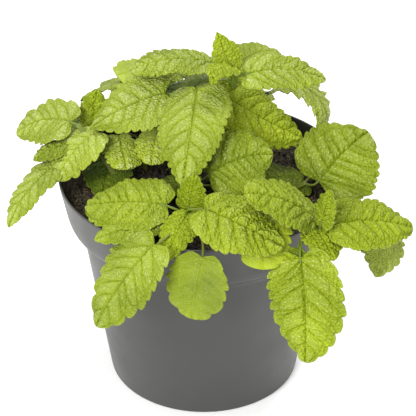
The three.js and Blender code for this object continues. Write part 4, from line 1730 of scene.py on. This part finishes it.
@dataclass
class Shoot:
    """One leafy shoot: a square stem, its leaf stalks and its leaves.

    stalk_start, stalk_lean, stalk_end and stalk_dip are shares of a stalk's length: how far it follows the
    stem, how far it leans to the leaf at once, how straight it meets the blade and how far it dips before.
    stalk_sunk and stalk_under say how far it ends inside and below the blade's midrib.
    """

    name: str
    radius: float
    stem: list[Point]
    leaves: list[Leaf]
    blade: Blade
    corner: float = 1.12
    stem_sides: int = 16
    stem_hollow: float = 0.26
    stem_taper: float = 0.72
    swelling: float = 0.18
    swelling_length: float = 1.6
    stalk_radius: float = 0.75
    stalk_sides: int = 10
    stalk_hollow: float = 0.22
    stalk_start: float = 0.3
    stalk_lean: float = 0.15
    stalk_end: float = 0.4
    stalk_dip: float = 0.2
    stalk_sunk: float = 3.0
    stalk_under: float = 0.45
    stalk_blush: float = 0.12

    def build(self, phases: Iterator[float], seed: int) -> Piece:
        """Builds the shoot and hides the plain one.

        Args:
            phases: Random numbers for the waves of the leaf margins.
            seed: Picks the patterns of the leaves' relief.

        Returns:
            The shoot's piece.
        """
        parts = MeshParts()
        line = through(self.stem, 48)
        self.add_stem(parts, line)
        for number, leaf in enumerate(self.leaves):
            self.add_stalk(parts, line, leaf)
            self.blade.build(leaf, 2 * math.pi * next(phases), seed + number, parts)
        piece = parts.build(f"{self.name}_foliage", [LEAF, STEM])
        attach(piece, BODY)
        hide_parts(self.name)
        return piece

    def add_stem(self, parts: MeshParts, line: Array) -> None:
        """Adds the stem, with a swelling where each leaf stalk starts.

        Args:
            parts: What it is added to.
            line: The stem's middle.
        """
        height = line[:, 2]
        swollen = sum(ridge(height - leaf.root, self.swelling_length) for leaf in self.leaves)
        taper = np.linspace(1.0, self.stem_taper, len(line))
        radius = self.radius * self.corner * taper * (1 + self.swelling * np.minimum(swollen, 1.0))
        radius[-1] *= 0.5
        blush = 0.15 + 0.35 * smooth_step(112, 98, np.repeat(height, self.stem_sides))
        outline = circle(self.stem_sides, lobes=4, depth=self.stem_hollow)
        parts.add(*tube(line, radius, outline), slot=1, blush=blush)

    def add_stalk(self, parts: MeshParts, line: Array, leaf: Leaf) -> None:
        """Adds a leaf's stalk, from the stem into the blade's midrib.

        Args:
            parts: What it is added to.
            line: The stem's middle.
            leaf: The leaf.
        """
        start_at = int(np.argmin(np.abs(line[:, 2] - leaf.root)))
        start = line[start_at]
        stem_way = np.gradient(line, axis=0)[start_at]
        stem_way /= np.linalg.norm(stem_way)
        base = np.array(leaf.base, float)
        reach = np.linalg.norm(base - start)
        _, way, _, normal = (part[0] for part in self.blade.midrib(leaf, 4))
        first = start + self.stalk_start * reach * stem_way + self.stalk_lean * (base - start)
        second = base - self.stalk_end * reach * way - (0, 0, self.stalk_dip * reach)
        end = base + self.stalk_sunk * way - self.stalk_under * normal
        path = bezier([start, first, second, end], 22)
        share = np.linspace(0, 1, len(path))
        foot = 1.15 - 0.35 * smooth_step(0, 0.3, share)
        tip = 1 - 0.45 * smooth_step(0.85, 1, share)
        outline = circle(self.stalk_sides, lobes=1, depth=self.stalk_hollow)
        parts.add(*tube(path, self.stalk_radius * foot * tip, outline), slot=1, blush=self.stalk_blush)


@dataclass
class Studio:
    """Camera, floor and light, in metres. Only lens, sensor and floor_gap are in millimetres."""

    camera_place: Point = (0.0, -0.666, 0.510)
    camera_aim: Point = (0.002, 0.0, 0.0885)
    lens: float = 141.06
    sensor: float = 36.0
    sight: float = 50.0
    floor_radius: float = 6.0
    floor_gap: float = 0.05
    floor_sides: int = 96
    sky: float = 0.8
    lamp_aim: Point = (0.0, 0.0, 0.1)

    def build(self) -> None:
        """Sets up the whole studio."""
        self.set_camera()
        self.lay_floor()
        self.set_sky()
        self.add_lamp("key_light", (-0.55, -1.0, 0.85), size=0.7, power=21.0)
        self.add_lamp("back_light", (0.35, 0.7, 1.3), size=0.6, power=14.0)
        bpy.context.scene.view_settings.view_transform = "Standard"

    def aim(self, thing: Piece, at: Point) -> None:
        """Turns a camera or a lamp to look at a place."""
        way = Vector(at) - thing.location
        thing.rotation_euler = way.to_track_quat("-Z", "Y").to_euler()

    def set_camera(self) -> None:
        """Places the camera as the photograph's."""
        eye = bpy.data.objects.new("camera", bpy.data.cameras.new("camera"))
        bpy.context.scene.collection.objects.link(eye)
        eye.data.lens = self.lens
        eye.data.sensor_width = self.sensor
        eye.data.sensor_fit = "HORIZONTAL"
        eye.data.clip_end = self.sight
        eye.location = self.camera_place
        self.aim(eye, self.camera_aim)
        bpy.context.scene.camera = eye

    def lay_floor(self) -> None:
        """Lays a plain pale floor just below the pot."""
        ring = circle(self.floor_sides) * self.floor_radius / MM
        parts = MeshParts()
        points = np.column_stack([ring, np.full(self.floor_sides, -self.floor_gap)])
        parts.add(points, [np.arange(self.floor_sides)[None, :]])
        floor = parts.build("studio_floor", [PAPER], smooth=False)

    def set_sky(self) -> None:
        """Fills the room with even white light."""
        world = bpy.data.worlds.new("studio")
        bpy.context.scene.world = world
        world.use_nodes = True
        light = world.node_tree.nodes["Background"]
        light.inputs["Color"].default_value = (1, 1, 1, 1)
        light.inputs["Strength"].default_value = self.sky

    def add_lamp(self, name: str, place: Point, size: float, power: float) -> None:
        """Adds a soft square lamp that shines at the plant.

        Args:
            name: The lamp's name.
            place: Where it hangs.
            size: Its side.
            power: Its power in watts.
        """
        lamp = bpy.data.objects.new(name, bpy.data.lights.new(name, "AREA"))
        bpy.context.scene.collection.objects.link(lamp)
        lamp.data.size = size
        lamp.data.energy = power
        lamp.location = place
        self.aim(lamp, self.lamp_aim)


def write_sizes() -> None:
    """Updates the view layer.
    """
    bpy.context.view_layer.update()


def report(piece: Piece) -> None:
    """Logs a piece's name and how many triangles it has."""
    triangles = sum(len(face.vertices) - 2 for face in piece.data.polygons)
    LOG.info("%s: %d triangles", piece.name, triangles)


def main() -> None:
    """Builds the studio and every piece, in order."""
    logging.basicConfig(level=logging.INFO, format="%(name)s %(message)s")
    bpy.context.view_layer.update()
    Studio().build()
    report(Pot().build())
    for piece in Soil().build():
        report(piece)
    blade = Blade()
    phases = random_numbers(7)
    for number, (name, (radius, stem, leaves)) in enumerate(SHOOT_TABLE.items()):
        report(Shoot(f"shoot_{name}", radius, stem, leaves, blade).build(phases, 100 * number))
    write_sizes()


if __name__ == "__main__":
    main()
